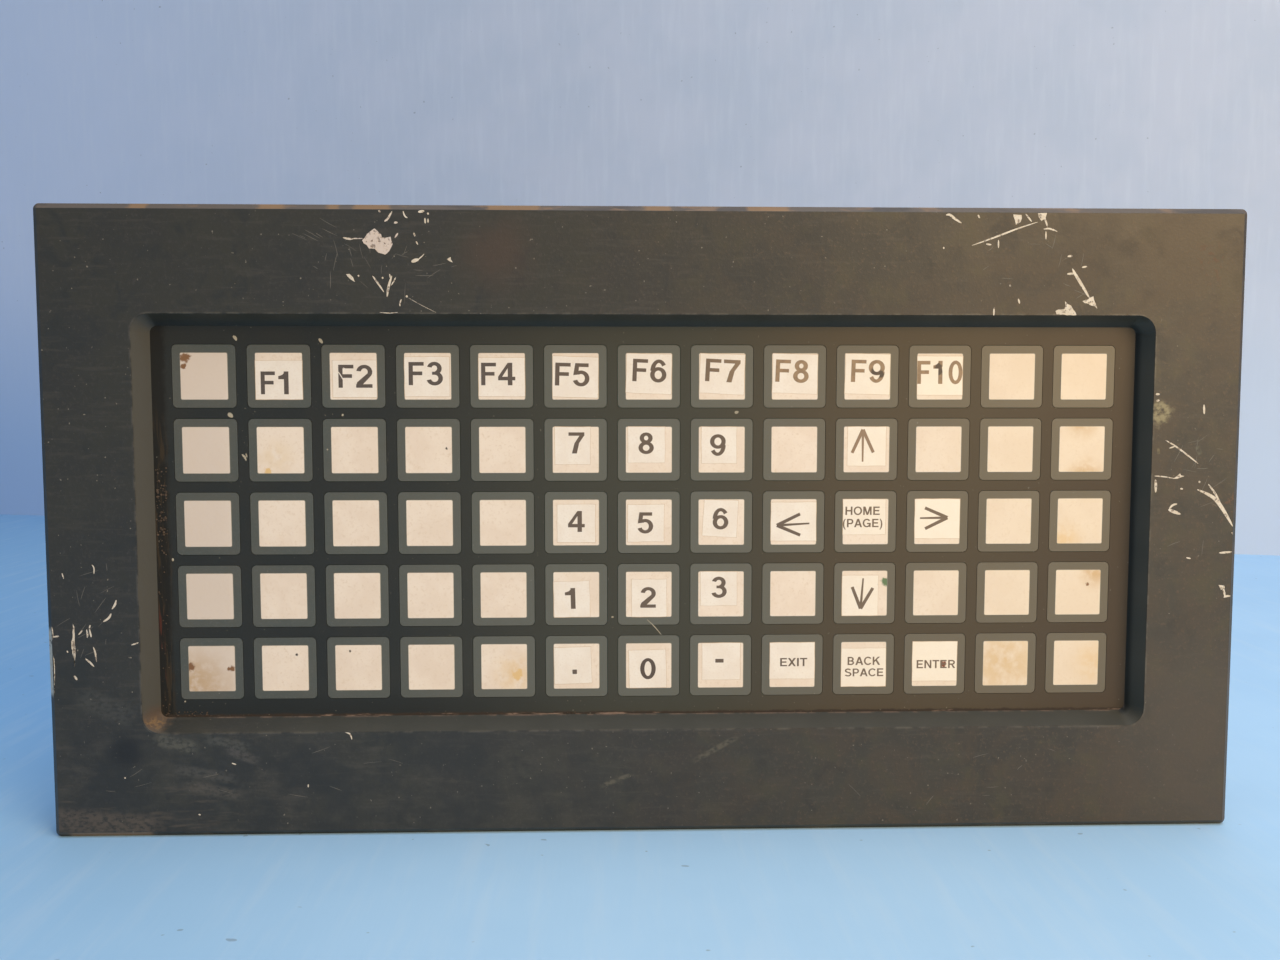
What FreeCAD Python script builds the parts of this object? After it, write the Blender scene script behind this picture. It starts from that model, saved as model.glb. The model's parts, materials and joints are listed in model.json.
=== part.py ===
import FreeCAD, Part
import math
import os
import Sketcher

# Operator keyboard for panel mounting: a recessed bezel, a printed overlay with flat keys,
# the dome switch stack behind it, and the encoder electronics under a rear cover.
#
# Frame, in millimetres: +X to the right of someone facing the keys, +Z up, the keys face -Y.
# The origin is the middle of the gasket's rear face, which lies on the panel's outer face.

Vector = FreeCAD.Vector

DIMENSIONS = {
    # bezel
    "plate_width": 308.0,
    "plate_height": 162.0,
    "plate_thick": 10.0,
    "plate_corner": 1.5,
    "plate_chamfer": 1.4,
    "opening_width": 261.0,
    "opening_height": 107.4,
    "opening_corner": 4.6,
    "wall_inset": 2.75,
    "recess_depth": 5.5,
    # key grid
    "key_pitch": 19.05,
    "key_size": 16.2,
    "key_corner": 1.2,
    "key_gap": 0.12,
    "key_travel": 0.5,
    "nub_radius": 3.0,
    "nub_clearance": 0.05,
    # switch stack
    "stack_width": 265.0,
    "stack_height": 111.0,
    "stack_gap": 0.5,
    "film_thick": 0.5,
    "spacer_thick": 1.2,
    "spacer_gap": 0.35,
    "board_thick": 1.6,
    "dome_radius": 5.0,
    "dome_flat": 3.5,
    "dome_height": 0.35,
    # backplate
    "backplate_width": 284.0,
    "backplate_height": 130.0,
    "backplate_thick": 2.0,
    "backplate_corner": 3.0,
    "slot_width": 7.0,
    "slot_height": 28.0,
    "slot_x": -80.0,
    # gasket and studs
    "gasket_width": 304.0,
    "gasket_height": 158.0,
    "gasket_inner_width": 288.0,
    "gasket_inner_height": 134.0,
    "gasket_thick": 1.5,
    "gasket_corner": 2.0,
    "stud_x": 148.0,
    "stud_z": 73.0,
    "stud_radius": 2.0,
    "stud_length": 16.0,
    "stud_collar_radius": 2.5,
    "stud_buried": 6.0,
    "stud_clearance": 0.3,
    # M3 screws
    "screw_radius": 1.5,
    "screw_head_radius": 2.75,
    "screw_head_height": 1.8,
    "screw_slot": 0.7,
    "long_screw": 8.0,
    "short_screw": 3.4,
    "board_screw": 5.0,
    "backplate_screw_x": 137.5,
    "backplate_screw_z": 60.5,
    "backplate_screw_inner_x": 46.0,
    # encoder board
    "encoder_width": 150.0,
    "encoder_height": 80.0,
    "encoder_x": -20.0,
    "standoff_height": 8.0,
    "standoff_radius": 3.0,
    "standoff_x": 70.0,
    "standoff_z": 35.0,
    "chip_length": 52.0,
    "chip_width": 13.8,
    "chip_height": 4.0,
    "chip_lift": 0.5,
    "chip_x": -15.0,
    "chip_z": 16.0,
    "lead_width": 0.5,
    "lead_pitch": 2.54,
    "lead_span": 15.24,
    "crystal_length": 11.0,
    "crystal_width": 4.7,
    "crystal_height": 3.6,
    "crystal_x": 25.0,
    "crystal_z": 16.0,
    "capacitor_radius": 3.15,
    "capacitor_height": 11.0,
    "capacitor_x": -50.0,
    "capacitor_z": -22.0,
    "capacitor_spacing": 9.0,
    # matrix connector
    "header_width": 5.0,
    "header_length": 25.4,
    "header_height": 2.5,
    "pin_size": 0.64,
    "pin_reach": 5.0,
    "pin_clearance": 0.1,
    # data connector
    "connector_x": 20.0,
    "connector_z": -20.0,
    "connector_body_width": 30.8,
    "connector_body_height": 12.5,
    "connector_body_corner": 1.5,
    "connector_shell_width": 16.3,
    "connector_shell_height": 7.9,
    "connector_shell_slope": 10.0,
    "connector_shell_corner": 1.8,
    "connector_shell_reach": 6.0,
    "contact_radius": 0.55,
    "contact_depth": 5.0,
    "contact_pitch": 2.76,
    "contact_row": 2.84,
    "jackscrew_spacing": 24.99,
    "jackscrew_radius": 1.4,
    "jackscrew_bore": 1.1,
    "jackscrew_hex": 5.0,
    "jackscrew_reach": 5.0,
    "jackscrew_buried": 5.0,
    # rear cover
    "cover_width": 236.0,
    "cover_height": 104.0,
    "cover_depth": 25.5,
    "cover_wall": 1.5,
    "cover_corner": 4.0,
    "cover_bend": 1.2,
    "cover_ear": 12.0,
    "cover_ear_height": 90.0,
    "cover_screw_x": 124.0,
    "cover_screw_z": 36.0,
    "cutout_clearance": 0.8,
}

FLAT = 0.01
SPARE_CELL = "D1"
COLUMNS = 13
ROWS = 5
MIDDLE_COLUMN = 7
MIDDLE_ROW = 3

# Keys with a node of their own: the whole top row, and the block of columns 6 to 11 below it.
NAMED_KEYS = {
    (1, 1): "key_top_left_blank",
    (2, 1): "key_f1",
    (3, 1): "key_f2",
    (4, 1): "key_f3",
    (5, 1): "key_f4",
    (6, 1): "key_f5",
    (7, 1): "key_f6",
    (8, 1): "key_f7",
    (9, 1): "key_f8",
    (10, 1): "key_f9",
    (11, 1): "key_f10",
    (12, 1): "key_top_twelfth_blank",
    (13, 1): "key_top_right_blank",
    (6, 2): "key_7",
    (7, 2): "key_8",
    (8, 2): "key_9",
    (9, 2): "key_left_of_up_blank",
    (10, 2): "key_up",
    (11, 2): "key_right_of_up_blank",
    (6, 3): "key_4",
    (7, 3): "key_5",
    (8, 3): "key_6",
    (9, 3): "key_left",
    (10, 3): "key_home",
    (11, 3): "key_right",
    (6, 4): "key_1",
    (7, 4): "key_2",
    (8, 4): "key_3",
    (9, 4): "key_left_of_down_blank",
    (10, 4): "key_down",
    (11, 4): "key_right_of_down_blank",
    (6, 5): "key_period",
    (7, 5): "key_0",
    (8, 5): "key_minus",
    (9, 5): "key_exit",
    (10, 5): "key_backspace",
    (11, 5): "key_enter",
}

# Planes along Y, from the front of the bezel to the back of the rear cover.
BEZEL_FRONT = "-(Dims.gasket_thick + Dims.plate_thick)"
FILM_FRONT = f"({BEZEL_FRONT} + Dims.recess_depth)"
SPACER_FRONT = f"({FILM_FRONT} + Dims.film_thick)"
BOARD_FRONT = f"({SPACER_FRONT} + Dims.spacer_thick)"
SUPPORT_FRONT = f"({BOARD_FRONT} + Dims.board_thick)"
BACKPLATE_FRONT = "(-Dims.gasket_thick)"
BACKPLATE_BACK = f"({BACKPLATE_FRONT} + Dims.backplate_thick)"
ENCODER_FRONT = f"({BACKPLATE_BACK} + Dims.standoff_height)"
ENCODER_BACK = f"({ENCODER_FRONT} + Dims.board_thick)"
COVER_BACK = f"({BACKPLATE_BACK} + Dims.cover_depth)"

SUPPORT_THICK = f"({BACKPLATE_FRONT} - {SUPPORT_FRONT})"
NUB_HEIGHT = "(Dims.spacer_thick - Dims.dome_height - Dims.key_travel - Dims.nub_clearance)"
FOOT_WIDTH = "(Dims.opening_width - 2 * Dims.wall_inset)"
FOOT_HEIGHT = "(Dims.opening_height - 2 * Dims.wall_inset)"
FOOT_CORNER = "(Dims.opening_corner - Dims.wall_inset)"
OPENING_SIZE = "(Dims.key_size + 2 * Dims.key_gap)"
OPENING_CORNER = "(Dims.key_corner + Dims.key_gap)"
SPACER_OPENING = "(Dims.key_size + 2 * Dims.spacer_gap)"
SPACER_CORNER = "(Dims.key_corner + Dims.spacer_gap)"

doc = FreeCAD.newDocument("OperatorKeyboard")
nodes = []


def make_sheet():
    """The spreadsheet of driving dimensions, one named row each."""
    sheet = doc.addObject("Spreadsheet::Sheet", "Dims")
    for row, (alias, value) in enumerate(DIMENSIONS.items(), start=1):
        sheet.set(f"A{row}", alias)
        sheet.set(f"B{row}", str(value))
        sheet.setAlias(f"B{row}", alias)
    doc.recompute()


def keep(item):
    """Note an object as a sub-part: its Label names its file."""
    item.Label = item.Name
    nodes.append(item)
    return item


def bind(item, **expressions):
    """Bind properties to expressions; x, y and z stand for the placement."""
    for name, expression in expressions.items():
        if name in ("x", "y", "z"):
            name = f"Placement.Base.{name}"
        item.setExpression(name, str(expression))
    return item


# Sketches and features. Every sketch lies in its body's XZ plane, whose normal is -Y.


def new_body(name, x="0", y="0", z="0"):
    body = doc.addObject("PartDesign::Body", name)
    return bind(body, x=x, y=y, z=z)


def new_sketch(body, name, depth="0"):
    """A sketch parallel to the front view, at a depth behind the body's own front plane."""
    sketch = body.newObject("Sketcher::SketchObject", name)
    for plane in body.Origin.OriginFeatures:
        if plane.Role == "XZ_Plane":
            sketch.AttachmentSupport = [(plane, "")]
    sketch.MapMode = "FlatFace"
    sketch.setExpression("AttachmentOffset.Base.z", f"-({depth})")
    return sketch


def constrain(sketch, expression, *arguments):
    """Add a dimension to a sketch and bind it to an expression."""
    index = sketch.addConstraint(Sketcher.Constraint(*arguments))
    sketch.setExpression(f"Constraints[{index}]", expression)


def value_of(expression):
    """The number that an expression gives, for a sketch's first guess, worked out in a spare cell."""
    doc.Dims.set(SPARE_CELL, "=" + expression.replace("Dims.", ""))
    doc.Dims.recompute()
    value = float(doc.Dims.get(SPARE_CELL))
    doc.Dims.clear(SPARE_CELL)
    return value


def rounded_rectangle(sketch, width, height, corner, x="0", z="0"):
    """A fully constrained rectangle with round corners, centred on (x, z)."""
    width = f"({width})"
    height = f"({height})"
    corner = f"({corner})"
    half_w = value_of(width) / 2
    half_h = value_of(height) / 2
    radius = value_of(corner)
    middle = Vector(value_of(x), value_of(z), 0)
    inner_w = half_w - radius
    inner_h = half_h - radius
    sides = [
        (Vector(-inner_w, -half_h, 0), Vector(inner_w, -half_h, 0)),
        (Vector(half_w, -inner_h, 0), Vector(half_w, inner_h, 0)),
        (Vector(inner_w, half_h, 0), Vector(-inner_w, half_h, 0)),
        (Vector(-half_w, inner_h, 0), Vector(-half_w, -inner_h, 0)),
    ]
    centres = [
        Vector(inner_w, -inner_h, 0),
        Vector(inner_w, inner_h, 0),
        Vector(-inner_w, inner_h, 0),
        Vector(-inner_w, -inner_h, 0),
    ]
    lines = []
    arcs = []
    for number, ((start, end), centre) in enumerate(zip(sides, centres)):
        lines.append(sketch.addGeometry(Part.LineSegment(middle + start, middle + end), False))
        whole = Part.Circle(middle + centre, Vector(0, 0, 1), radius)
        first = (number - 1) * math.pi / 2
        arcs.append(sketch.addGeometry(Part.ArcOfCircle(whole, first, first + math.pi / 2), False))
    for number in range(4):
        following = lines[(number + 1) % 4]
        sketch.addConstraint(Sketcher.Constraint("Tangent", lines[number], 2, arcs[number], 1))
        sketch.addConstraint(Sketcher.Constraint("Tangent", arcs[number], 2, following, 1))
    sketch.addConstraint(Sketcher.Constraint("Horizontal", lines[0]))
    sketch.addConstraint(Sketcher.Constraint("Vertical", lines[1]))
    for number in range(1, 4):
        sketch.addConstraint(Sketcher.Constraint("Equal", arcs[0], arcs[number]))
    constrain(sketch, corner, "Radius", arcs[0], radius)
    inner_width = f"{width} - 2 * {corner}"
    inner_height = f"{height} - 2 * {corner}"
    constrain(sketch, inner_width, "DistanceX", arcs[3], 3, arcs[0], 3, 2 * inner_w)
    constrain(sketch, inner_height, "DistanceY", arcs[0], 3, arcs[1], 3, 2 * inner_h)
    corner_x = f"{x} + ({inner_width}) / 2"
    corner_z = f"{z} + ({inner_height}) / 2"
    constrain(sketch, corner_x, "DistanceX", -1, 1, arcs[1], 3, middle.x + inner_w)
    constrain(sketch, corner_z, "DistanceY", -1, 1, arcs[1], 3, middle.y + inner_h)


def circle(sketch, radius, x="0", z="0"):
    """A circle of an expression's radius, centred on (x, z)."""
    centre = Vector(value_of(x), value_of(z), 0)
    shape = Part.Circle(centre, Vector(0, 0, 1), value_of(radius))
    number = sketch.addGeometry(shape, False)
    constrain(sketch, radius, "Radius", number, value_of(radius))
    constrain(sketch, x, "DistanceX", -1, 1, number, 3, centre.x)
    constrain(sketch, z, "DistanceY", -1, 1, number, 3, centre.y)


def pad(body, sketch, length):
    """Grow a sketch backwards, towards +Y."""
    feature = body.newObject("PartDesign::Pad", sketch.Name + "_pad")
    feature.Profile = sketch
    feature.Reversed = True
    feature.setExpression("Length", length)
    sketch.Visibility = False
    return feature


def pocket(body, sketch, length, forwards=False):
    """Cut a sketch backwards, towards +Y, or forwards from a rear face."""
    feature = body.newObject("PartDesign::Pocket", sketch.Name + "_pocket")
    feature.Profile = sketch
    feature.Reversed = forwards
    feature.setExpression("Length", length)
    return feature


def edges_where(feature, test):
    """The names of a feature's edges whose bounds pass a test."""
    doc.recompute()
    names = []
    for number, edge in enumerate(feature.Shape.Edges, start=1):
        if test(edge.BoundBox):
            names.append(f"Edge{number}")
    return names


def dress(body, kind, base, edges, size, expression):
    """A PartDesign Fillet or Chamfer on named edges of a feature."""
    feature = body.newObject(f"PartDesign::{kind}", f"{base.Name}_{kind.lower()}")
    feature.Base = (base, edges)
    feature.setExpression(size, expression)
    return feature


def key_grid(body, feature):
    """Repeat a feature of the top left key over the whole grid of keys."""
    grid = body.newObject("PartDesign::MultiTransform", body.Name + "_grid")
    grid.Originals = [feature]
    steps = []
    for role, count, reverse in (("X_Axis", COLUMNS, False), ("Z_Axis", ROWS, True)):
        step = doc.addObject("PartDesign::LinearPattern", f"{body.Name}_{role}_pattern")
        axis = [item for item in body.Origin.OriginFeatures if item.Role == role][0]
        step.Direction = (axis, [""])
        step.Reversed = reverse
        step.Occurrences = count
        step.setExpression("Length", f"{count - 1} * Dims.key_pitch")
        steps.append(step)
    grid.Transformations = steps
    body.Tip = grid


def column_x(column):
    return f"({column - MIDDLE_COLUMN} * Dims.key_pitch)"


def row_z(row):
    return f"({MIDDLE_ROW - row} * Dims.key_pitch)"


def all_keys():
    """Every (column, row) of the grid, from the top left."""
    return [(column, row) for row in range(1, ROWS + 1) for column in range(1, COLUMNS + 1)]


def corners(x, z):
    """The four places at plus and minus x and z."""
    return [(f"{side} * {x}", f"{level} * {z}") for side in (-1, 1) for level in (-1, 1)]


# Part primitives. A cylinder or cone made here has its axis along Y and grows towards +Y.


def box(name, width, depth, height, x, y, z):
    """A box of width, depth and height along X, Y and Z, centred in x and z, from y backwards."""
    item = doc.addObject("Part::Box", name)
    bind(item, Length=width, Width=depth, Height=height)
    return bind(item, x=f"{x} - ({width}) / 2", y=y, z=f"{z} - ({height}) / 2")


def rod(name, radius, length, x, y, z):
    item = doc.addObject("Part::Cylinder", name)
    item.Placement = FreeCAD.Placement(Vector(), FreeCAD.Rotation(Vector(1, 0, 0), -90))
    return bind(item, Radius=radius, Height=length, x=x, y=y, z=z)


def fuse(name, items):
    item = doc.addObject("Part::MultiFuse", name)
    item.Shapes = items
    return item


def cut(name, base, tool):
    item = doc.addObject("Part::Cut", name)
    item.Base = base
    item.Tool = tool
    return item


def group(name, items):
    """Separate solids under one name."""
    item = doc.addObject("Part::Compound", name)
    item.Links = items
    return item


def copies(name, master, places):
    """The master solid repeated at each (x, z), as one group; the master stands at x = z = 0."""
    links = []
    for number, (x, z) in enumerate(places, start=1):
        link = doc.addObject("App::Link", f"{name}_{number}")
        link.LinkedObject = master
        link.LinkTransform = True
        links.append(bind(link, x=x, z=z))
    return keep(group(name, links))


def screw(name, length, seat):
    """A slotted pan head screw whose head sits on the plane y = seat, pointing towards -Y."""
    head = rod(f"{name}_head", "Dims.screw_head_radius", "Dims.screw_head_height", "0", seat, "0")
    shank = rod(f"{name}_shank", "Dims.screw_radius", length, "0", f"{seat} - {length}", "0")
    blank = fuse(f"{name}_blank", [head, shank])
    slot_floor = f"{seat} + Dims.screw_head_height / 2"
    slot = box(f"{name}_slot", "3 * Dims.screw_head_radius", "Dims.screw_head_height",
               "Dims.screw_slot", "0", slot_floor, "0")
    return cut(f"{name}_master", blank, slot)


BACKPLATE_SCREWS = corners("Dims.backplate_screw_x", "Dims.backplate_screw_z")
BACKPLATE_SCREWS += [("-Dims.backplate_screw_x", "0"), ("Dims.backplate_screw_x", "0")]
BACKPLATE_SCREWS += corners("Dims.backplate_screw_inner_x", "Dims.backplate_screw_z")
STUDS = corners("Dims.stud_x", "Dims.stud_z") + [("0", "-Dims.stud_z"), ("0", "Dims.stud_z")]
STANDOFFS = [(f"Dims.encoder_x + ({x})", z) for x, z in corners("Dims.standoff_x", "Dims.standoff_z")]
COVER_SCREWS = corners("Dims.cover_screw_x", "Dims.cover_screw_z")
JACKSCREWS = [(f"Dims.connector_x + {side} * Dims.jackscrew_spacing / 2", "Dims.connector_z")
              for side in (-1, 1)]


def make_bezel():
    """Thick plate with a drafted recess, a rear rebate for the stack, and blind screw holes."""
    body = new_body("bezel", y=BEZEL_FRONT)
    outline = new_sketch(body, "bezel_outline")
    rounded_rectangle(outline, "Dims.plate_width", "Dims.plate_height", "Dims.plate_corner")
    plate = pad(body, outline, "Dims.plate_thick")
    front_edges = edges_where(plate, lambda bounds: bounds.YMax < FLAT)
    dress(body, "Chamfer", plate, front_edges, "Size", "Dims.plate_chamfer")
    mouth = new_sketch(body, "bezel_mouth")
    rounded_rectangle(mouth, "Dims.opening_width", "Dims.opening_height", "Dims.opening_corner")
    foot = new_sketch(body, "bezel_foot", "Dims.recess_depth")
    rounded_rectangle(foot, FOOT_WIDTH, FOOT_HEIGHT, FOOT_CORNER)
    recess = body.newObject("PartDesign::SubtractiveLoft", "bezel_recess")
    recess.Profile = mouth
    recess.Sections = [foot]
    recess.Ruled = True
    rebate = new_sketch(body, "bezel_rebate", "Dims.plate_thick")
    rounded_rectangle(rebate, "Dims.stack_width + Dims.stack_gap", "Dims.stack_height + Dims.stack_gap",
                      "Dims.plate_corner")
    pocket(body, rebate, "Dims.plate_thick - Dims.recess_depth", forwards=True)
    screw_holes = new_sketch(body, "bezel_screw_holes", "Dims.plate_thick")
    for x, z in BACKPLATE_SCREWS:
        circle(screw_holes, "Dims.screw_radius", x, z)
    pocket(body, screw_holes, "Dims.long_screw - Dims.backplate_thick", forwards=True)
    stud_holes = new_sketch(body, "bezel_stud_holes", "Dims.plate_thick")
    for x, z in STUDS:
        circle(stud_holes, "Dims.stud_collar_radius", x, z)
    pocket(body, stud_holes, "Dims.stud_buried", forwards=True)
    keep(body)


def make_keyed_sheet(name, front, thickness, opening, corner):
    """A sheet as large as the stack, with one square opening for each key."""
    body = new_body(name, y=front)
    outline = new_sketch(body, f"{name}_outline")
    rounded_rectangle(outline, "Dims.stack_width", "Dims.stack_height", "Dims.plate_corner")
    pad(body, outline, thickness)
    key_opening = new_sketch(body, f"{name}_opening")
    rounded_rectangle(key_opening, opening, opening, corner, column_x(1), row_z(1))
    key_grid(body, pocket(body, key_opening, thickness))
    keep(body)


def make_key(name, column, row):
    """A flat key pad flush with the overlay, with a nub behind it that reaches for the dome."""
    body = new_body(name, column_x(column), FILM_FRONT, row_z(row))
    outline = new_sketch(body, f"{name}_outline")
    rounded_rectangle(outline, "Dims.key_size", "Dims.key_size", "Dims.key_corner")
    pad(body, outline, "Dims.film_thick")
    nub = new_sketch(body, f"{name}_nub", "Dims.film_thick")
    circle(nub, "Dims.nub_radius")
    pad(body, nub, NUB_HEIGHT)
    return body


def make_keys():
    """Named keys are sub-parts of their own; the spare blank keys share one."""
    spares = []
    for column, row in all_keys():
        name = NAMED_KEYS.get((column, row))
        if name:
            keep(make_key(name, column, row))
        else:
            spares.append(make_key(f"spare_key_{row}_{column}", column, row))
    keep(group("spare_keys", spares))


def make_domes():
    """Snap domes on the key board, at the height they have when pressed flat."""
    master = doc.addObject("Part::Cone", "dome_master")
    master.Placement = FreeCAD.Placement(Vector(), FreeCAD.Rotation(Vector(1, 0, 0), 90))
    bind(master, Radius1="Dims.dome_radius", Radius2="Dims.dome_flat", Height="Dims.dome_height")
    bind(master, y=BOARD_FRONT)
    places = [(column_x(column), row_z(row)) for column, row in all_keys()]
    copies("snap_domes", master, places)


def matrix_slot(sketch):
    """The slot that the matrix header passes through."""
    rounded_rectangle(sketch, "Dims.slot_width", "Dims.slot_height", "Dims.plate_corner", "Dims.slot_x")


def make_flat_sheet(name, front, thickness, slotted):
    """A plain sheet of the stack, slotted where the matrix header passes."""
    body = new_body(name, y=front)
    outline = new_sketch(body, f"{name}_outline")
    rounded_rectangle(outline, "Dims.stack_width", "Dims.stack_height", "Dims.plate_corner")
    if slotted:
        matrix_slot(outline)
    pad(body, outline, thickness)
    keep(body)


def make_backplate():
    body = new_body("backplate", y=BACKPLATE_FRONT)
    outline = new_sketch(body, "backplate_outline")
    rounded_rectangle(outline, "Dims.backplate_width", "Dims.backplate_height", "Dims.backplate_corner")
    matrix_slot(outline)
    for x, z in BACKPLATE_SCREWS + COVER_SCREWS:
        circle(outline, "Dims.screw_radius", x, z)
    pad(body, outline, "Dims.backplate_thick")
    keep(body)
    screws = screw("backplate_screw", "Dims.long_screw", BACKPLATE_BACK)
    copies("backplate_screws", screws, BACKPLATE_SCREWS)


def make_gasket():
    body = new_body("panel_gasket", y="-Dims.gasket_thick")
    outline = new_sketch(body, "gasket_outline")
    rounded_rectangle(outline, "Dims.gasket_width", "Dims.gasket_height", "Dims.gasket_corner")
    rounded_rectangle(outline, "Dims.gasket_inner_width", "Dims.gasket_inner_height", "Dims.gasket_corner")
    for x, z in STUDS:
        circle(outline, "Dims.stud_collar_radius + Dims.stud_clearance", x, z)
    pad(body, outline, "Dims.gasket_thick")
    keep(body)


def make_studs():
    """Studs whose collars are pressed into the bezel and end level with the gasket's rear face."""
    collar_length = "Dims.stud_buried + Dims.gasket_thick"
    collar = rod("stud_collar", "Dims.stud_collar_radius", collar_length, "0", f"-({collar_length})", "0")
    tip_length = "Dims.stud_radius / 4"
    shaft = rod("stud_shaft", "Dims.stud_radius", f"Dims.stud_length - {tip_length}", "0", "0", "0")
    tip = doc.addObject("Part::Cone", "stud_tip")
    tip.Placement = FreeCAD.Placement(Vector(), FreeCAD.Rotation(Vector(1, 0, 0), -90))
    bind(tip, Radius1="Dims.stud_radius", Radius2=f"Dims.stud_radius - {tip_length}", Height=tip_length)
    bind(tip, y=f"Dims.stud_length - {tip_length}")
    copies("mounting_studs", fuse("stud_master", [collar, shaft, tip]), STUDS)


def make_encoder_board():
    """The encoder board, held on four bored standoffs by its screws."""
    body = new_body("encoder_board", y=ENCODER_FRONT)
    outline = new_sketch(body, "encoder_outline")
    rounded_rectangle(outline, "Dims.encoder_width", "Dims.encoder_height", "Dims.plate_corner",
                      "Dims.encoder_x")
    for x, z in STANDOFFS:
        circle(outline, "Dims.screw_radius", x, z)
    pad(body, outline, "Dims.board_thick")
    keep(body)
    post = rod("standoff_post", "Dims.standoff_radius", "Dims.standoff_height", "0", BACKPLATE_BACK, "0")
    bore_front = f"{ENCODER_BACK} - Dims.board_screw"
    bore = rod("standoff_bore", "Dims.screw_radius", "Dims.board_screw", "0", bore_front, "0")
    copies("board_standoffs", cut("standoff_master", post, bore), STANDOFFS)
    copies("board_screws", screw("board_screw", "Dims.board_screw", ENCODER_BACK), STANDOFFS)


def make_chip():
    """The encoder chip: a dual in-line package, its leads bent down to the board."""
    body_seat = f"{ENCODER_BACK} + Dims.chip_lift"
    parts = [box("chip_body", "Dims.chip_length", "Dims.chip_height", "Dims.chip_width",
                 "Dims.chip_x", body_seat, "Dims.chip_z")]
    leads = 20
    reach = "Dims.chip_lift + Dims.chip_height / 2"
    span = "Dims.lead_span + Dims.lead_width"
    for number in range(leads):
        x = f"Dims.chip_x + {number - (leads - 1) / 2} * Dims.lead_pitch"
        arm = box(f"chip_arm_{number}", "Dims.lead_width", "Dims.lead_width", span,
                  x, f"{ENCODER_BACK} + {reach}", "Dims.chip_z")
        parts.append(arm)
        for side in (-1, 1):
            leg = box(f"chip_leg_{number}_{side + 1}", "Dims.lead_width", reach, "Dims.lead_width",
                      x, ENCODER_BACK, f"Dims.chip_z + {side} * Dims.lead_span / 2")
            parts.append(leg)
    keep(fuse("encoder_chip", parts))


def make_small_parts():
    """The crystal in its metal can, and a row of capacitors."""
    body = new_body("crystal", "Dims.crystal_x", ENCODER_BACK, "Dims.crystal_z")
    can = new_sketch(body, "crystal_can")
    rounded_rectangle(can, "Dims.crystal_length", "Dims.crystal_width", "Dims.crystal_width / 3")
    pad(body, can, "Dims.crystal_height")
    keep(body)
    master = rod("capacitor_can", "Dims.capacitor_radius", "Dims.capacitor_height", "0", ENCODER_BACK, "0")
    places = [(f"Dims.capacitor_x + {number} * Dims.capacitor_spacing", "Dims.capacitor_z")
              for number in range(3)]
    copies("board_capacitors", master, places)


def make_matrix_connector():
    """Two rows of pins on the key board, plugged into a socket on the encoder board."""
    rows = 9
    columns = 2
    strip = box("header_strip", "Dims.header_width", "Dims.header_height", "Dims.header_length",
                "Dims.slot_x", SUPPORT_FRONT, "0")
    pin_front = f"{SUPPORT_FRONT} + Dims.header_height"
    hole_size = "Dims.pin_size + 2 * Dims.pin_clearance"
    hole_depth = "Dims.pin_reach + Dims.pin_clearance"
    pins = []
    holes = []
    for column in range(columns):
        for row in range(rows):
            number = f"{column}_{row}"
            x = f"Dims.slot_x + {column - (columns - 1) / 2} * Dims.lead_pitch"
            z = f"{row - (rows - 1) / 2} * Dims.lead_pitch"
            pins.append(box(f"header_pin_{number}", "Dims.pin_size", "Dims.pin_reach", "Dims.pin_size",
                            x, pin_front, z))
            holes.append(box(f"socket_hole_{number}", hole_size, hole_depth, hole_size, x, pin_front, z))
    keep(fuse("matrix_header", [strip] + pins))
    blank_depth = f"{ENCODER_FRONT} - ({pin_front})"
    blank = box("socket_blank", "Dims.header_width", blank_depth, "Dims.header_length",
                "Dims.slot_x", pin_front, "0")
    keep(cut("matrix_socket", blank, fuse("socket_holes", holes)))


def connector_outline(sketch, margin):
    """The D shape of the plug shell, wider at the top, grown outwards by a margin."""
    half_top = value_of(f"Dims.connector_shell_width / 2 + {margin}")
    half_height = value_of(f"Dims.connector_shell_height / 2 + {margin}")
    lean = 2 * half_height * math.tan(math.radians(value_of("Dims.connector_shell_slope")))
    points = [
        Vector(-half_top, half_height, 0),
        Vector(half_top, half_height, 0),
        Vector(half_top - lean, -half_height, 0),
        Vector(lean - half_top, -half_height, 0),
    ]
    lines = []
    for start, end in zip(points, points[1:] + points[:1]):
        lines.append(sketch.addGeometry(Part.LineSegment(start, end), False))
    for number in range(4):
        following = lines[(number + 1) % 4]
        sketch.addConstraint(Sketcher.Constraint("Coincident", lines[number], 2, following, 1))
    sketch.addConstraint(Sketcher.Constraint("Horizontal", lines[0]))
    sketch.addConstraint(Sketcher.Constraint("Horizontal", lines[2]))
    width = f"Dims.connector_shell_width + 2 * ({margin})"
    height = f"Dims.connector_shell_height + 2 * ({margin})"
    constrain(sketch, width, "DistanceX", lines[0], 1, lines[0], 2, 2 * half_top)
    constrain(sketch, height, "DistanceY", lines[1], 2, lines[1], 1, 2 * half_height)
    constrain(sketch, f"({width}) / 2", "DistanceX", -1, 1, lines[1], 1, half_top)
    constrain(sketch, f"({height}) / 2", "DistanceY", -1, 1, lines[1], 1, half_height)
    shift = f"({height}) * tan(Dims.connector_shell_slope)"
    constrain(sketch, shift, "DistanceX", lines[1], 2, lines[1], 1, lean)
    constrain(sketch, shift, "DistanceX", lines[3], 2, lines[3], 1, lean)


def is_shell_corner(bounds):
    """True for the four edges that run along the connector's shell."""
    reach = DIMENSIONS["connector_shell_reach"]
    return abs(bounds.YLength - reach) < FLAT and bounds.XLength < FLAT and bounds.ZLength < FLAT


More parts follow.
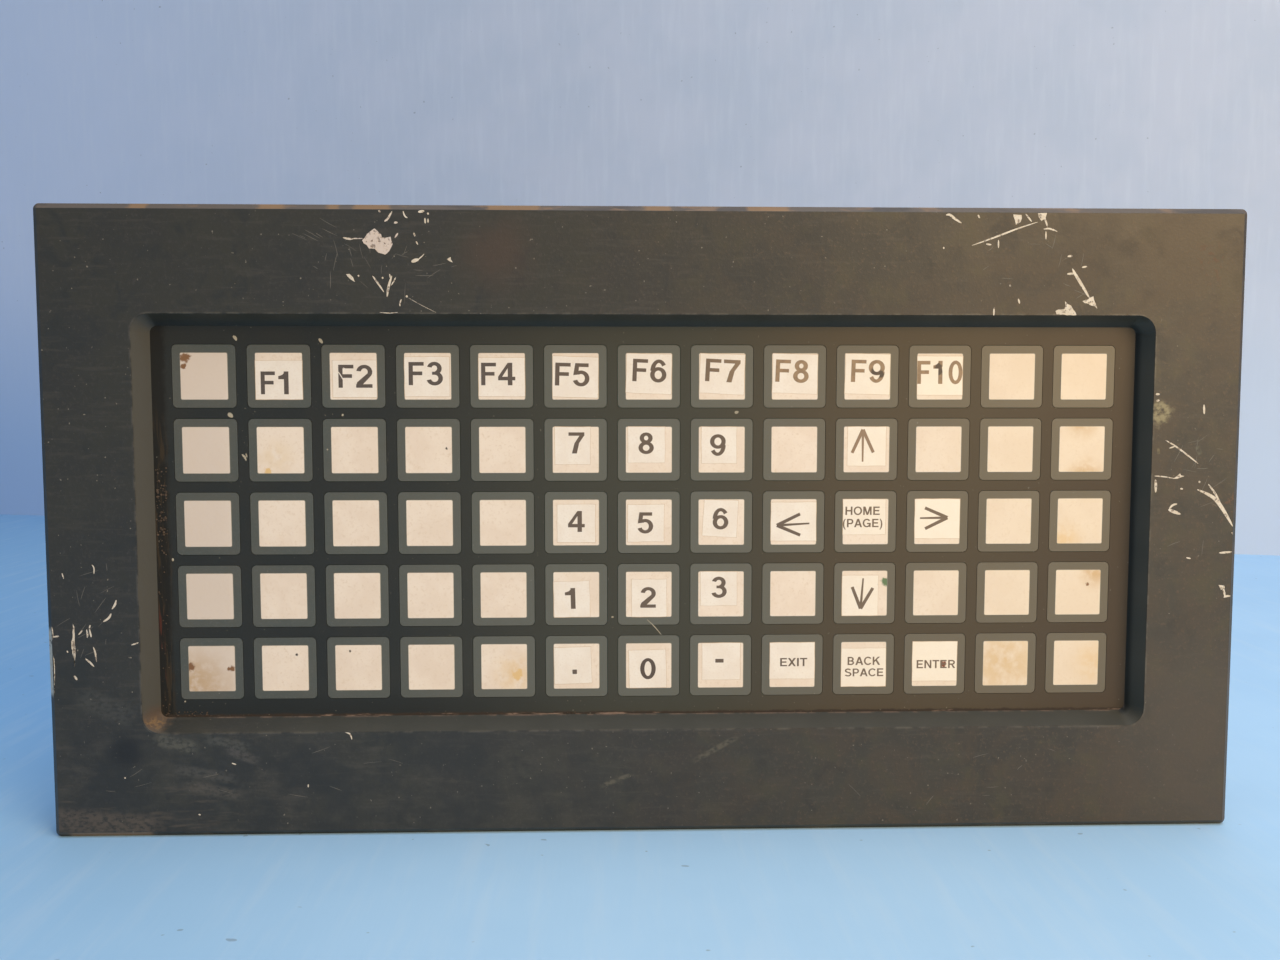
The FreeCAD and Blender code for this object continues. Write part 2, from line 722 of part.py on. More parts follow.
def make_data_connector():
    """Nine-way D socket standing on the encoder board, its shell passing out of the cover."""
    body = new_body("data_connector", "Dims.connector_x", ENCODER_BACK, "Dims.connector_z")
    height = f"({COVER_BACK} - Dims.cover_wall - {ENCODER_BACK})"
    base = new_sketch(body, "connector_base")
    rounded_rectangle(base, "Dims.connector_body_width", "Dims.connector_body_height",
                      "Dims.connector_body_corner")
    pad(body, base, height)
    shell = new_sketch(body, "connector_shell", height)
    connector_outline(shell, "0")
    pad(body, shell, "Dims.connector_shell_reach")
    shell_top = body.Tip
    shell_corners = edges_where(shell_top, is_shell_corner)
    dress(body, "Fillet", shell_top, shell_corners, "Radius", "Dims.connector_shell_corner")
    contacts = new_sketch(body, "connector_contacts", f"{height} + Dims.connector_shell_reach")
    for count, z in ((5, "Dims.contact_row / 2"), (4, "-Dims.contact_row / 2")):
        for number in range(count):
            circle(contacts, "Dims.contact_radius", f"{number - (count - 1) / 2} * Dims.contact_pitch", z)
    pocket(body, contacts, "Dims.contact_depth", forwards=True)
    sockets = new_sketch(body, "connector_screw_holes", height)
    for side in (-1, 1):
        circle(sockets, "Dims.jackscrew_radius", f"{side} * Dims.jackscrew_spacing / 2")
    pocket(body, sockets, "Dims.jackscrew_buried", forwards=True)
    keep(body)


def make_jackscrews():
    """Hexagonal posts that hold the connector to the cover and take the plug's screws."""
    seat = COVER_BACK
    hexagon = doc.addObject("Part::Prism", "jackscrew_hexagon")
    hexagon.Placement = FreeCAD.Placement(Vector(), FreeCAD.Rotation(Vector(1, 0, 0), -90))
    hexagon.Polygon = 6
    bind(hexagon, Circumradius="Dims.jackscrew_hex / sqrt(3)", Height="Dims.jackscrew_reach", y=seat)
    shank_front = f"{seat} - Dims.cover_wall - Dims.jackscrew_buried"
    shank_length = "Dims.cover_wall + Dims.jackscrew_buried"
    shank = rod("jackscrew_shank", "Dims.jackscrew_radius", shank_length, "0", shank_front, "0")
    bore = rod("jackscrew_thread", "Dims.jackscrew_bore", "Dims.jackscrew_reach", "0", seat, "0")
    solid = cut("jackscrew_master", fuse("jackscrew_blank", [hexagon, shank]), bore)
    copies("connector_jackscrews", solid, JACKSCREWS)


def make_rear_cover():
    """Folded tray over the encoder board, with an ear at each end and the connector's cut-out."""
    body = new_body("rear_cover", y=BACKPLATE_BACK)
    outline = new_sketch(body, "cover_outline")
    rounded_rectangle(outline, "Dims.cover_width", "Dims.cover_height", "Dims.cover_corner")
    tray = pad(body, outline, "Dims.cover_depth")
    back_edges = edges_where(tray, lambda bounds: bounds.YMin > DIMENSIONS["cover_depth"] - FLAT)
    dress(body, "Fillet", tray, back_edges, "Radius", "Dims.cover_bend")
    ears = new_sketch(body, "cover_ears")
    rounded_rectangle(ears, "Dims.cover_width + 2 * Dims.cover_ear", "Dims.cover_ear_height",
                      "Dims.cover_corner")
    pad(body, ears, "Dims.cover_wall")
    inside = new_sketch(body, "cover_inside")
    rounded_rectangle(inside, "Dims.cover_width - 2 * Dims.cover_wall",
                      "Dims.cover_height - 2 * Dims.cover_wall", "Dims.cover_corner - Dims.cover_wall")
    pocket(body, inside, "Dims.cover_depth - Dims.cover_wall")
    cutout = new_sketch(body, "cover_cutout", "Dims.cover_depth")
    cutout.setExpression("AttachmentOffset.Base.x", "Dims.connector_x")
    cutout.setExpression("AttachmentOffset.Base.y", "Dims.connector_z")
    connector_outline(cutout, "Dims.cutout_clearance")
    for side in (-1, 1):
        circle(cutout, "Dims.jackscrew_radius", f"{side} * Dims.jackscrew_spacing / 2")
    pocket(body, cutout, "Dims.cover_wall", forwards=True)
    holes = new_sketch(body, "cover_screw_holes")
    for x, z in COVER_SCREWS:
        circle(holes, "Dims.screw_radius", x, z)
    pocket(body, holes, "Dims.cover_wall")
    keep(body)
    seat = f"{BACKPLATE_BACK} + Dims.cover_wall"
    copies("cover_screws", screw("cover_screw", "Dims.short_screw", seat), COVER_SCREWS)


def write_parts():
    """Check every object, then write each sub-part as its own STEP file."""
    doc.recompute()
    for item in doc.Objects:
        for fault in ("Invalid", "Error"):
            if fault in item.State:
                raise RuntimeError(f"{item.Name}: {item.State}")
    for item in nodes:
        if item.Shape.isNull() or not item.Shape.isValid():
            raise RuntimeError(f"{item.Label} has no valid shape")
    os.makedirs("parts", exist_ok=True)
    for item in nodes:
        item.Shape.exportStep(f"parts/{item.Label}.step")
        extent = item.Shape.BoundBox
        print(f"{item.Label}: {len(item.Shape.Solids)} solids, volume {item.Shape.Volume:.1f}, "
              f"x {extent.XMin:.2f} {extent.XMax:.2f}, y {extent.YMin:.2f} {extent.YMax:.2f}, "
              f"z {extent.ZMin:.2f} {extent.ZMax:.2f}")


make_sheet()
make_bezel()
make_data_connector()
make_rear_cover()
make_jackscrews()
make_backplate()
make_gasket()
make_studs()
make_encoder_board()
make_chip()
make_small_parts()
make_matrix_connector()
make_flat_sheet("key_board", BOARD_FRONT, "Dims.board_thick", slotted=False)
make_flat_sheet("support_sheet", SUPPORT_FRONT, SUPPORT_THICK, slotted=True)
make_keyed_sheet("key_spacer", SPACER_FRONT, "Dims.spacer_thick", SPACER_OPENING, SPACER_CORNER)
make_keyed_sheet("overlay", FILM_FRONT, "Dims.film_thick", OPENING_SIZE, OPENING_CORNER)
make_domes()
make_keys()
write_parts()
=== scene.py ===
"""Looks of the operator keypad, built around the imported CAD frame.

Metres, in the frame's axes: +X right and +Z up as the keys are read, and the keys face -Y.
Outlines, masks and label places are written in mm.
"""
import json
import math
import random

import bmesh
import bpy
from mathutils import Matrix, Vector


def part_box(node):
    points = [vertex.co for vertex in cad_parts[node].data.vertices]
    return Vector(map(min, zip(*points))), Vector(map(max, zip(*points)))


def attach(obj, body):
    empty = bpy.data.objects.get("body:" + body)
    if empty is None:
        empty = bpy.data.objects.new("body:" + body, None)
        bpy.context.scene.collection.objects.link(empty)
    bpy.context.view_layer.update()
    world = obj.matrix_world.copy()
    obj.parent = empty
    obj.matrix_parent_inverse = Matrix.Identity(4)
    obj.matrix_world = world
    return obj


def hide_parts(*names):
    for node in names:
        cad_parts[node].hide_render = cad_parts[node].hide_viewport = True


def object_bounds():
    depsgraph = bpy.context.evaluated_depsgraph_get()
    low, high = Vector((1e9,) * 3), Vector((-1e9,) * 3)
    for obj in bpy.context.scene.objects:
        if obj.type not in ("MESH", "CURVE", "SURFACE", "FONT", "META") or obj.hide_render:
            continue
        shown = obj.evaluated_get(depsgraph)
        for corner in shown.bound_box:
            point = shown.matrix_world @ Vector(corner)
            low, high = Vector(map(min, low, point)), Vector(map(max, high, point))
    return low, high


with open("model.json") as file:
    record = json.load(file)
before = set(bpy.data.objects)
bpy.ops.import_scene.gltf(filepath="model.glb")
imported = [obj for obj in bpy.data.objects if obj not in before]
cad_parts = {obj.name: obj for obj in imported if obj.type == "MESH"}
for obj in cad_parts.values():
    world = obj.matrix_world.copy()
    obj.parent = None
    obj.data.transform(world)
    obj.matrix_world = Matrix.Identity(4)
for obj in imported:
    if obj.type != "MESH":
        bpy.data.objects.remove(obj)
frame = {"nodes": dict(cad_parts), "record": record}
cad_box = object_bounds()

MM = 0.001
nodes = frame["nodes"]
material_slot_of = {part["node"]: part["material_slot"] for part in frame["record"]["subparts"]}


def millimetres(node):
    """Lowest and highest corners of a CAD node, in mm."""
    low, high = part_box(node)
    return low / MM, high / MM


bezel_low, bezel_high = millimetres("bezel")
key_low = millimetres("key_5")[0]
FACE = bezel_low.y                      # front of the bezel
FILM = key_low.y                        # front of the keys and of the film between them
PITCH = key_low.x - millimetres("key_4")[0].x
CHAMFER = 1.4                           # sloping edge around the bezel's front
EDGE_X = bezel_high.x - CHAMFER         # the flat front reaches this far each way
EDGE_Z = bezel_high.z - CHAMFER
COLUMNS = range(1, 14)
ROWS = range(1, 6)
MIDDLE_COLUMN, MIDDLE_ROW = 7, 3

WINDOW = 12.22                          # clear window of a key, each way
CARD_FRONT = FILM - 0.030               # cream card seen through the window
PAPER_FRONT = FILM - 0.045              # slip with the legend
INK_FRONT = FILM - 0.055
MARK_FRONT = FILM - 0.066               # scratches that cross the print
SLIP_BACK = FILM - 0.020
INK_BACK = FILM - 0.030
STAGGER = 0.002                         # shapes that may overlap are set this much apart in depth
CHIP_RISE = 0.012                       # chips and lint stand proud by this
SCUFF_RISE, SCUFF_STAGGER = 0.002, 0.0015
MARK_DEPTH = 0.05                       # chips and scratches reach this far into the bezel
FILM_DEPTH = 0.02                       # cards and lint reach this far into the film
MOUTH_WIDTH, MOUTH_HEIGHT, MOUTH_CORNER = 261.0, 107.4, 4.6     # opening at the bezel's front


def cell(column, row):
    """Middle of a key, in mm."""
    return ((column - MIDDLE_COLUMN) * PITCH, (MIDDLE_ROW - row) * PITCH)


# ------------------------------------------------------------------ procedural finishes


def screen(red, green, blue):
    """Linear colour of a 0-255 screen colour."""
    def linear(value):
        share = value / 255
        return share / 12.92 if share <= 0.04045 else ((share + 0.055) / 1.055) ** 2.4
    return (linear(red), linear(green), linear(blue), 1.0)


CHIPPED_PATCH = (-68.5, 71.5)            # largest patch of missing paint, above the keys
RUBS = [
    # start, end, width, tone and strength of paint rubbed paler but not through
    ((-13.5, -69.0), (-4.0, -65.4), 1.7, (92, 90, 78), 0.65),
    ((10.5, -62.8), (24.5, -55.0), 2.0, (92, 90, 78), 0.65),
    ((130.9, 25.4), (132.6, 24.6), 1.4, (118, 110, 88), 0.6),
    ((132.0, 19.8), (132.3, 17.8), 1.0, (128, 120, 92), 0.6),
    ((142.2, 20.2), (143.4, 17.6), 1.8, (98, 102, 88), 0.6),
    ((-128.8, -54.6), (-115.4, -58.2), 5.0, (86, 87, 79), 0.65),
    ((-116.0, -54.8), (-102.0, -58.0), 3.8, (78, 80, 76), 0.55),
    ((-110.4, -57.8), (-100.0, -61.6), 3.4, (82, 80, 77), 0.55),
    ((-125.0, -62.4), (-105.0, -66.4), 4.0, (76, 76, 73), 0.55),
    ((-122.0, -67.0), (-104.0, -70.6), 4.2, (82, 79, 73), 0.55),
    ((-148.0, -43.0), (-131.0, -50.5), 8.0, (70, 72, 69), 0.5),
    ((-160.0, -75.6), (-122.0, -79.0), 9.0, (86, 79, 71), 0.65),
]
TAN_PATCHES = [
    # middle and half length of bare patches along the top edge
    (-128.0, 2.2),
    (-94.8, 3.0),
    (-79.4, 1.6),
    (-69.7, 4.4),
    (-34.5, 6.5),
    (2.0, 3.5),
    (30.0, 5.0),
]


class Finish:
    """A procedural material in the making, with its coordinates in mm.

    noise(), step(), near() and the like give sockets. layer() puts one more tone over what is there,
    wherever a mask is 1, and done() wires the result to the shader. Tones are 0-255 screen colours.
    """

    def __init__(self, name, colour, rough, **constants):
        self.name = name
        self.material = bpy.data.materials.new(name)
        self.material.use_nodes = True
        self.tree = self.material.node_tree
        self.shader = self.tree.nodes["Principled BSDF"]
        place = self.add("ShaderNodeTexCoord").outputs["Object"]
        scaled = self.add("ShaderNodeVectorMath", operation="SCALE")
        self.feed(scaled.inputs[0], place)
        scaled.inputs["Scale"].default_value = 1 / MM
        self.place = scaled.outputs[0]
        axes = self.add("ShaderNodeSeparateXYZ")
        self.feed(axes.inputs[0], self.place)
        self.x, self.y, self.z = axes.outputs
        self.colour, self.rough, self.height = screen(*colour), rough, 0.0
        for socket, value in constants.items():
            self.shader.inputs[socket.replace("_", " ")].default_value = value

    def add(self, kind, **settings):
        node = self.tree.nodes.new(kind)
        for setting, value in settings.items():
            setattr(node, setting, value)
        return node

    def feed(self, socket, value):
        if isinstance(value, bpy.types.NodeSocket):
            self.tree.links.new(value, socket)
        else:
            socket.default_value = value

    def math(self, operation, *values):
        node = self.add("ShaderNodeMath", operation=operation)
        for socket, value in zip(node.inputs, values):
            self.feed(socket, value)
        return node.outputs[0]

    def all_of(self, *masks):
        """1 where every mask is; a plain number among them is a strength."""
        product = masks[0]
        for mask in masks[1:]:
            product = self.math("MULTIPLY", product, mask)
        return product

    def noise(self, size, detail=3.0, stretch=None, warp=0.0):
        """Noise around 0.5 whose blotches are about size mm; stretch divides it along each axis."""
        place = self.place
        if stretch is not None:
            pulled = self.add("ShaderNodeVectorMath", operation="MULTIPLY")
            self.feed(pulled.inputs[0], place)
            pulled.inputs[1].default_value = [1 / share for share in stretch]
            place = pulled.outputs[0]
        node = self.add("ShaderNodeTexNoise")
        self.feed(node.inputs["Vector"], place)
        node.inputs["Scale"].default_value = 1 / size
        node.inputs["Detail"].default_value = detail
        node.inputs["Roughness"].default_value = 0.6
        node.inputs["Distortion"].default_value = warp
        return node.outputs[0]

    def step(self, value, low, high):
        """0 at low and 1 at high, smooth between them; low may be the larger."""
        node = self.add("ShaderNodeMapRange", interpolation_type="SMOOTHSTEP")
        self.feed(node.inputs["Value"], value)
        node.inputs["From Min"].default_value = low
        node.inputs["From Max"].default_value = high
        return node.outputs["Result"]

    def ramp(self, axis, low, high):
        """0 at one place along x, y or z and 1 at another."""
        return self.step(getattr(self, axis), low, high)

    def patches(self, size, low, high, **how):
        """1 in the blotches of a noise."""
        return self.step(self.noise(size, **how), low, high)

    def blend(self, mask, first, second):
        node = self.add("ShaderNodeMapRange")
        self.feed(node.inputs["Value"], mask)
        self.feed(node.inputs["To Min"], first)
        self.feed(node.inputs["To Max"], second)
        return node.outputs["Result"]

    def tint(self, mask, first, second):
        node = self.add("ShaderNodeMix", data_type="RGBA")
        self.feed(node.inputs[0], mask)
        self.feed(node.inputs[6], first)
        self.feed(node.inputs[7], second)
        return node.outputs[2]

    def length(self, across, up):
        squares = self.math("MULTIPLY_ADD", across, across, self.all_of(up, up))
        return self.math("SQRT", squares)

    def near(self, x, z, radius, ragged=0.5, soft=0.5):
        """1 at a point of the face, fading out over the soft share of a radius whose edge is ragged."""
        away = self.length(self.math("SUBTRACT", self.x, x), self.math("SUBTRACT", self.z, z))
        edge = self.noise(0.7 * radius, detail=6.0)
        wavy = self.math("MULTIPLY_ADD", edge, -2 * ragged * radius, away)
        return self.step(wavy, (1 - ragged) * radius, (1 - soft - ragged) * radius)

    def stroke(self, start, end, width):
        """1 along a straight mark of the face, with soft edges."""
        middle_x, middle_z = (start[0] + end[0]) / 2, (start[1] + end[1]) / 2
        reach = math.hypot(end[0] - start[0], end[1] - start[1]) / 2
        unit_x, unit_z = (end[0] - middle_x) / reach, (end[1] - middle_z) / reach
        right = self.math("SUBTRACT", self.x, middle_x)
        up = self.math("SUBTRACT", self.z, middle_z)
        along = self.math("MULTIPLY_ADD", right, unit_x, self.all_of(up, unit_z))
        across = self.math("MULTIPLY_ADD", right, -unit_z, self.all_of(up, unit_x))
        inside = self.step(self.math("ABSOLUTE", across), width / 2, width / 6)
        return self.all_of(inside, self.step(self.math("ABSOLUTE", along), reach, 0.5 * reach))

    def outside(self, width, height, radius):
        """Distance outside a rounded rectangle around the origin, negative inside it."""
        across = self.math("SUBTRACT", self.math("ABSOLUTE", self.x), width / 2 - radius)
        up = self.math("SUBTRACT", self.math("ABSOLUTE", self.z), height / 2 - radius)
        corner = self.length(self.math("MAXIMUM", across, 0.0), self.math("MAXIMUM", up, 0.0))
        side = self.math("MINIMUM", self.math("MAXIMUM", across, up), 0.0)
        return self.math("SUBTRACT", self.math("ADD", corner, side), radius)

    def layer(self, mask, colour=None, rough=None, rise=0.0):
        """One more tone where the mask, or each of several, is 1, standing proud by rise mm."""
        if isinstance(mask, tuple):
            mask = self.all_of(*mask)
        if colour is not None:
            self.colour = self.tint(mask, self.colour, screen(*colour))
        if rough is not None:
            self.rough = self.blend(mask, self.rough, rough)
        if rise:
            self.height = self.math("MULTIPLY_ADD", mask, rise, self.height)

    def done(self):
        self.feed(self.shader.inputs["Base Color"], self.colour)
        self.feed(self.shader.inputs["Roughness"], self.rough)
        bump = self.add("ShaderNodeBump")
        bump.inputs["Distance"].default_value = MM
        self.feed(bump.inputs["Height"], self.height)
        self.feed(self.shader.inputs["Normal"], bump.outputs[0])
        return self.material


def clouded(name, tones, patch, grain, rough, relief, stretch=None, **constants):
    """Base tone, soft clouds of the second tone and fine grain of the third."""
    finish = Finish(name, tones[0], rough[0], **constants)
    clouds = finish.noise(patch, stretch=stretch)
    fine = finish.noise(grain, detail=4.0, stretch=stretch)
    finish.layer(finish.step(clouds, 0.36, 0.64), tones[1], rough[1])
    finish.layer(finish.step(fine, 0.50, 0.78), tones[2])
    finish.layer(fine, rise=relief)
    return finish


def bezel_finish():
    """Worn matt black: soft clouds, level brushing, scuffs, rubbed edges and dirt in the recess, with
    painted warm reflection towards the right, painted light and shade on the recess walls and a painted
    highlight on the bottom chamfer.
    """
    finish = clouded("bezel_paint", ((43, 44, 42), (49, 49, 43), (58, 56, 52)),
                     patch=22.0, grain=0.8, rough=(0.52, 0.46), relief=0.03)
    finish.layer(finish.patches(8.0, 0.50, 0.70, detail=5.0, warp=0.6), (38, 41, 40), 0.55)
    brushing = finish.patches(1.2, 0.52, 0.72, detail=4.0, stretch=(9.0, 1.0, 1.0), warp=0.3)
    finish.layer((brushing, 0.35), (70, 67, 61))
    finish.layer(finish.patches(0.9, 0.75, 0.80, detail=1.0), (118, 114, 103), 0.6)

    # greyer scuffs and darker paint low on the left, with one dark smudge
    low_left = finish.all_of(finish.ramp("z", -46.0, -62.0), finish.ramp("x", 60.0, -60.0))
    scuffs = finish.patches(3.0, 0.42, 0.74, detail=8.0, stretch=(2.0, 1.0, 1.0))
    finish.layer((scuffs, low_left, 0.3), (76, 75, 70), 0.6)
    dark_paint = finish.patches(13.0, 0.40, 0.60, detail=6.0)
    finish.layer((dark_paint, low_left, 0.65), (34, 37, 38), 0.5)
    finish.layer((finish.ramp("z", -64.0, -74.0), finish.ramp("x", -90.0, -125.0), brushing, 0.5),
                 (80, 74, 65), 0.6)
    smudge = finish.near(-134.7, -58.2, 6.2, ragged=0.3, soft=0.8)
    finish.layer((smudge, 0.9), (27, 28, 28), 0.5)

    # painted warm reflection towards the right, as brown haze and mottling, then brown flecks and paint
    # rubbed paler
    warm_sheen_haze = finish.patches(16.0, 0.42, 0.64, detail=5.0, warp=1.0)
    warm_sheen_to_right = finish.ramp("x", -60.0, 120.0)
    finish.layer((warm_sheen_haze, warm_sheen_to_right, 0.6), (66, 56, 44), 0.5)
    green_sheen_mottle = finish.patches(11.0, 0.52, 0.66, detail=4.0)
    finish.layer((green_sheen_mottle, warm_sheen_to_right, 0.5), (64, 62, 42), 0.5)
    flecks = finish.patches(1.6, 0.54, 0.64, detail=4.0)
    for x, z in ((142.5, 69.4), (145.3, 65.6), (151.8, 4.2)):
        finish.layer((finish.near(x, z, 6.0, ragged=0.6, soft=0.9), flecks, 0.55), (116, 74, 48), 0.6)
    rubbed = finish.patches(0.9, 0.32, 0.60, detail=6.0, stretch=(1.5, 1.0, 1.0))
    for start, end, width, tone, share in RUBS:
        finish.layer((finish.stroke(start, end, width), rubbed, share), tone, 0.6)
    finish.layer((finish.near(132.4, 28.9, 3.9, ragged=0.45), rubbed, 0.85), (156, 148, 114), 0.6)
    brown_sheen_mottle = finish.patches(0.8, 0.54, 0.74, detail=5.0)
    finish.layer((brown_sheen_mottle, warm_sheen_to_right, 0.45), (92, 72, 50))
    # the next two layers: more painted warm reflection towards the right, strongest in the upper right
    finish.layer((warm_sheen_to_right, 0.25), (60, 51, 33))
    finish.layer((finish.ramp("x", 60.0, 140.0), finish.ramp("z", 40.0, 70.0), 0.55), (50, 40, 27))
    finish.layer((finish.near(-38.0, 69.0, 13.0, ragged=0.4, soft=0.9), 0.5), (68, 52, 42), 0.6)
    finish.layer((finish.ramp("x", 110.0, 140.0), finish.ramp("z", -20.0, -45.0), 0.5), (72, 65, 54))

    # rubbed edge around the mouth, in broken stretches
    mouth = finish.outside(MOUTH_WIDTH, MOUTH_HEIGHT, MOUTH_CORNER)
    patchy = finish.patches(3.5, 0.42, 0.62, detail=4.0)
    finish.layer((finish.step(mouth, 0.6, 0.1), finish.step(mouth, -0.5, 0.0), patchy, 0.5),
                 (92, 88, 78), 0.4)

    # recess walls, each in its own light grey as painted light and shade for the way it faces the light,
    # the right one with a painted shadow at its foot
    wall = finish.step(mouth, 0.0, -0.2)
    finish.layer((wall, finish.ramp("x", -140.0, -60.0), 0.8), (56, 58, 53))
    right_wall = finish.all_of(wall, finish.ramp("x", 125.0, 127.0))
    finish.layer(right_wall, (66, 66, 59))
    finish.layer((wall, finish.ramp("z", 51.5, 53.0), 0.8), (50, 46, 34))
    finish.layer((right_wall, finish.ramp("y", FILM - 2.2, FILM - 0.6), 0.9), (30, 31, 27))
    finish.layer((wall, finish.ramp("x", -125.5, -127.5)), (69, 69, 64), 0.6)

    # a thin line of dirt at the lower foot, and ochre dirt in the lower left corner
    foot = finish.all_of(finish.ramp("y", FILM - 0.7, FILM - 0.1), finish.ramp("z", -49.0, -50.4))
    finish.layer((foot, patchy), (98, 84, 74), 0.7)
    corner = finish.all_of(wall, finish.near(-128.4, -51.0, 4.6, ragged=0.4, soft=0.8))
    finish.layer(corner, (78, 66, 56), 0.8)
    crumbs = finish.all_of(finish.patches(1.4, 0.44, 0.60, detail=5.0), finish.ramp("z", -49.6, -51.2))
    finish.layer((corner, crumbs, 0.6), (120, 96, 62), 0.8, rise=0.05)

    # chamfer: grey with tan patches along the top, a tan strip low on the left, paler patches along the
    # bottom as painted highlight, rubbed sides
    slope = finish.all_of(finish.ramp("y", FACE + 0.03, FACE + 0.15),
                          finish.ramp("y", FACE + CHAMFER + 0.3, FACE + CHAMFER - 0.1))
    top = finish.all_of(slope, finish.ramp("z", EDGE_Z, EDGE_Z + 0.1))
    finish.layer((top, 0.85), (88, 80, 74), 0.6)
    dark = finish.patches(9.0, 0.50, 0.62, detail=4.0, stretch=(3.0, 1.0, 1.0))
    finish.layer((top, dark, 0.8), (62, 58, 58), 0.6)
    bright = finish.patches(3.0, 0.54, 0.66, detail=4.0, stretch=(3.5, 1.0, 1.0))
    finish.layer((top, bright, 0.6), (128, 104, 80), 0.65)
    for middle, reach in TAN_PATCHES:
        frayed = finish.math("MULTIPLY_ADD", finish.noise(2.0, detail=4.0), 3.0, finish.x)
        off = finish.math("ABSOLUTE", finish.math("SUBTRACT", frayed, middle + 1.5))
        patch = finish.all_of(top, finish.step(off, reach + 0.8, reach - 0.8))
        finish.layer((patch, 0.8), (128, 102, 72), 0.65)
    bottom = finish.all_of(slope, finish.ramp("z", -EDGE_Z, -EDGE_Z - 0.1))
    strip = finish.step(finish.math("ABSOLUTE", finish.math("ADD", finish.x, 139.5)), 11.5, 9.5)
    finish.layer((bottom, strip, 0.8), (138, 114, 90), 0.65)
    # paler patches along the bottom chamfer: painted highlight
    finish.layer((bottom, bright, 0.35), (104, 90, 74), 0.65)
    sides = finish.all_of(slope, finish.step(finish.math("ABSOLUTE", finish.x), EDGE_X, EDGE_X + 0.1))
    finish.layer((sides, patchy, 0.4), (84, 74, 66), 0.6)
    low_edge = finish.step(finish.math("ABSOLUTE", finish.math("ADD", finish.z, 35.0)), 9.5, 7.5)
    chipped = finish.patches(2.2, 0.34, 0.46, detail=5.0)
    finish.layer((sides, low_edge, finish.ramp("x", 0.0, -1.0), chipped), (198, 190, 174), 0.6)
    return finish


def overlay_finish():
    """Fine-textured dark film, lighter and warmer towards the right as painted warm reflection, with
    grime and painted shade along its left foot and grime along its lower foot.
    """
    finish = clouded("overlay_film", ((36, 39, 37), (41, 42, 38), (47, 49, 44)),
                     patch=14.0, grain=0.5, rough=(0.50, 0.46), relief=0.012,
                     Specular_IOR_Level=0.35)
    # painted warm reflection: lighter and warmer towards the right
    finish.layer((finish.ramp("x", -80.0, 0.0), 0.8), (62, 62, 51))
    finish.layer((finish.ramp("x", 5.0, 60.0), 0.8), (75, 64, 46))
    finish.layer((finish.ramp("x", 80.0, 128.0), 0.9), (63, 52, 38))
    finish.layer((finish.ramp("z", -42.0, -48.0), finish.ramp("x", 0.0, -70.0), 0.6), (30, 32, 29))
    ragged_edge = finish.noise(2.4, detail=5.0)
    from_left = finish.math("MULTIPLY_ADD", ragged_edge, -2.6, finish.x)
    # grime and painted shade of the left wall along the left foot
    grime_and_shade = finish.step(from_left, -124.6, -126.6)
    finish.layer(grime_and_shade, (22, 22, 18), 0.7)
    streaks = finish.patches(0.7, 0.50, 0.62, detail=4.0, stretch=(1.0, 1.0, 14.0), warp=0.5)
    in_strip = finish.all_of(grime_and_shade, finish.ramp("z", 34.0, 18.0))
    finish.layer((streaks, in_strip, 0.45), (68, 55, 36), 0.8, rise=0.03)
    at_edge = finish.step(from_left, -127.2, -128.0)
    rusty = finish.near(-127.2, -32.0, 12.0, ragged=0.4)
    finish.layer((at_edge, rusty, streaks, 0.7), (76, 32, 24), 0.7)
    from_foot = finish.math("MULTIPLY_ADD", ragged_edge, -1.2, finish.z)
    finish.layer(finish.step(from_foot, -50.6, -51.2), (50, 42, 35), 0.75)
    dashes = finish.patches(2.0, 0.54, 0.64, detail=4.0, stretch=(5.0, 1.0, 1.0))
    finish.layer((finish.step(from_foot, -51.0, -51.4), dashes), (128, 110, 98), 0.75)
    finish.layer(finish.patches(0.7, 0.77, 0.81, detail=1.0), (104, 100, 88), 0.6)
    return finish


def key_finish():
    """Printed grey-green border of a key, lighter and warmer towards the right as painted warm light."""
    finish = clouded("key_film", ((74, 78, 72), (80, 81, 73), (88, 89, 82)),
                     patch=11.0, grain=0.45, rough=(0.46, 0.40), relief=0.010,
                     Coat_Weight=0.12, Coat_Roughness=0.35)
    # painted warm light: lighter from the left and warmer towards the right
    finish.layer((finish.ramp("x", -100.0, -10.0), 0.8), (92, 93, 83))
    finish.layer((finish.ramp("x", 0.0, 90.0), 0.8), (98, 89, 70))
    finish.layer(finish.patches(0.6, 0.77, 0.81, detail=1.0), (140, 136, 124))
    return finish


BROWN = (124, 88, 54)
DARK = (70, 62, 52)
TAN = (196, 164, 118)
OCHRE = (214, 182, 128)
RUST = (120, 66, 40)
MOSS = (92, 116, 78)
STAINS = [
    # column, row, middle in the window, radius, tone, strength
    (1, 5, -5.0, -5.5, 14.0, (184, 158, 124), 1.0),
    (2, 2, -1.0, -2.0, 7.0, (218, 198, 166), 0.6),
    (5, 5, 3.0, -2.0, 8.0, OCHRE, 0.6),
    (12, 5, 0.0, 0.0, 14.0, (206, 178, 132), 0.8),
    (13, 2, 0.0, 7.5, 6.0, TAN, 0.8),
    (13, 2, 1.0, -7.5, 7.0, TAN, 0.9),
    (13, 3, -5.0, -6.0, 8.0, OCHRE, 0.7),
    (13, 4, 4.5, 5.5, 6.0, TAN, 0.9),
    (13, 5, 5.0, 0.0, 8.0, OCHRE, 0.6),
]
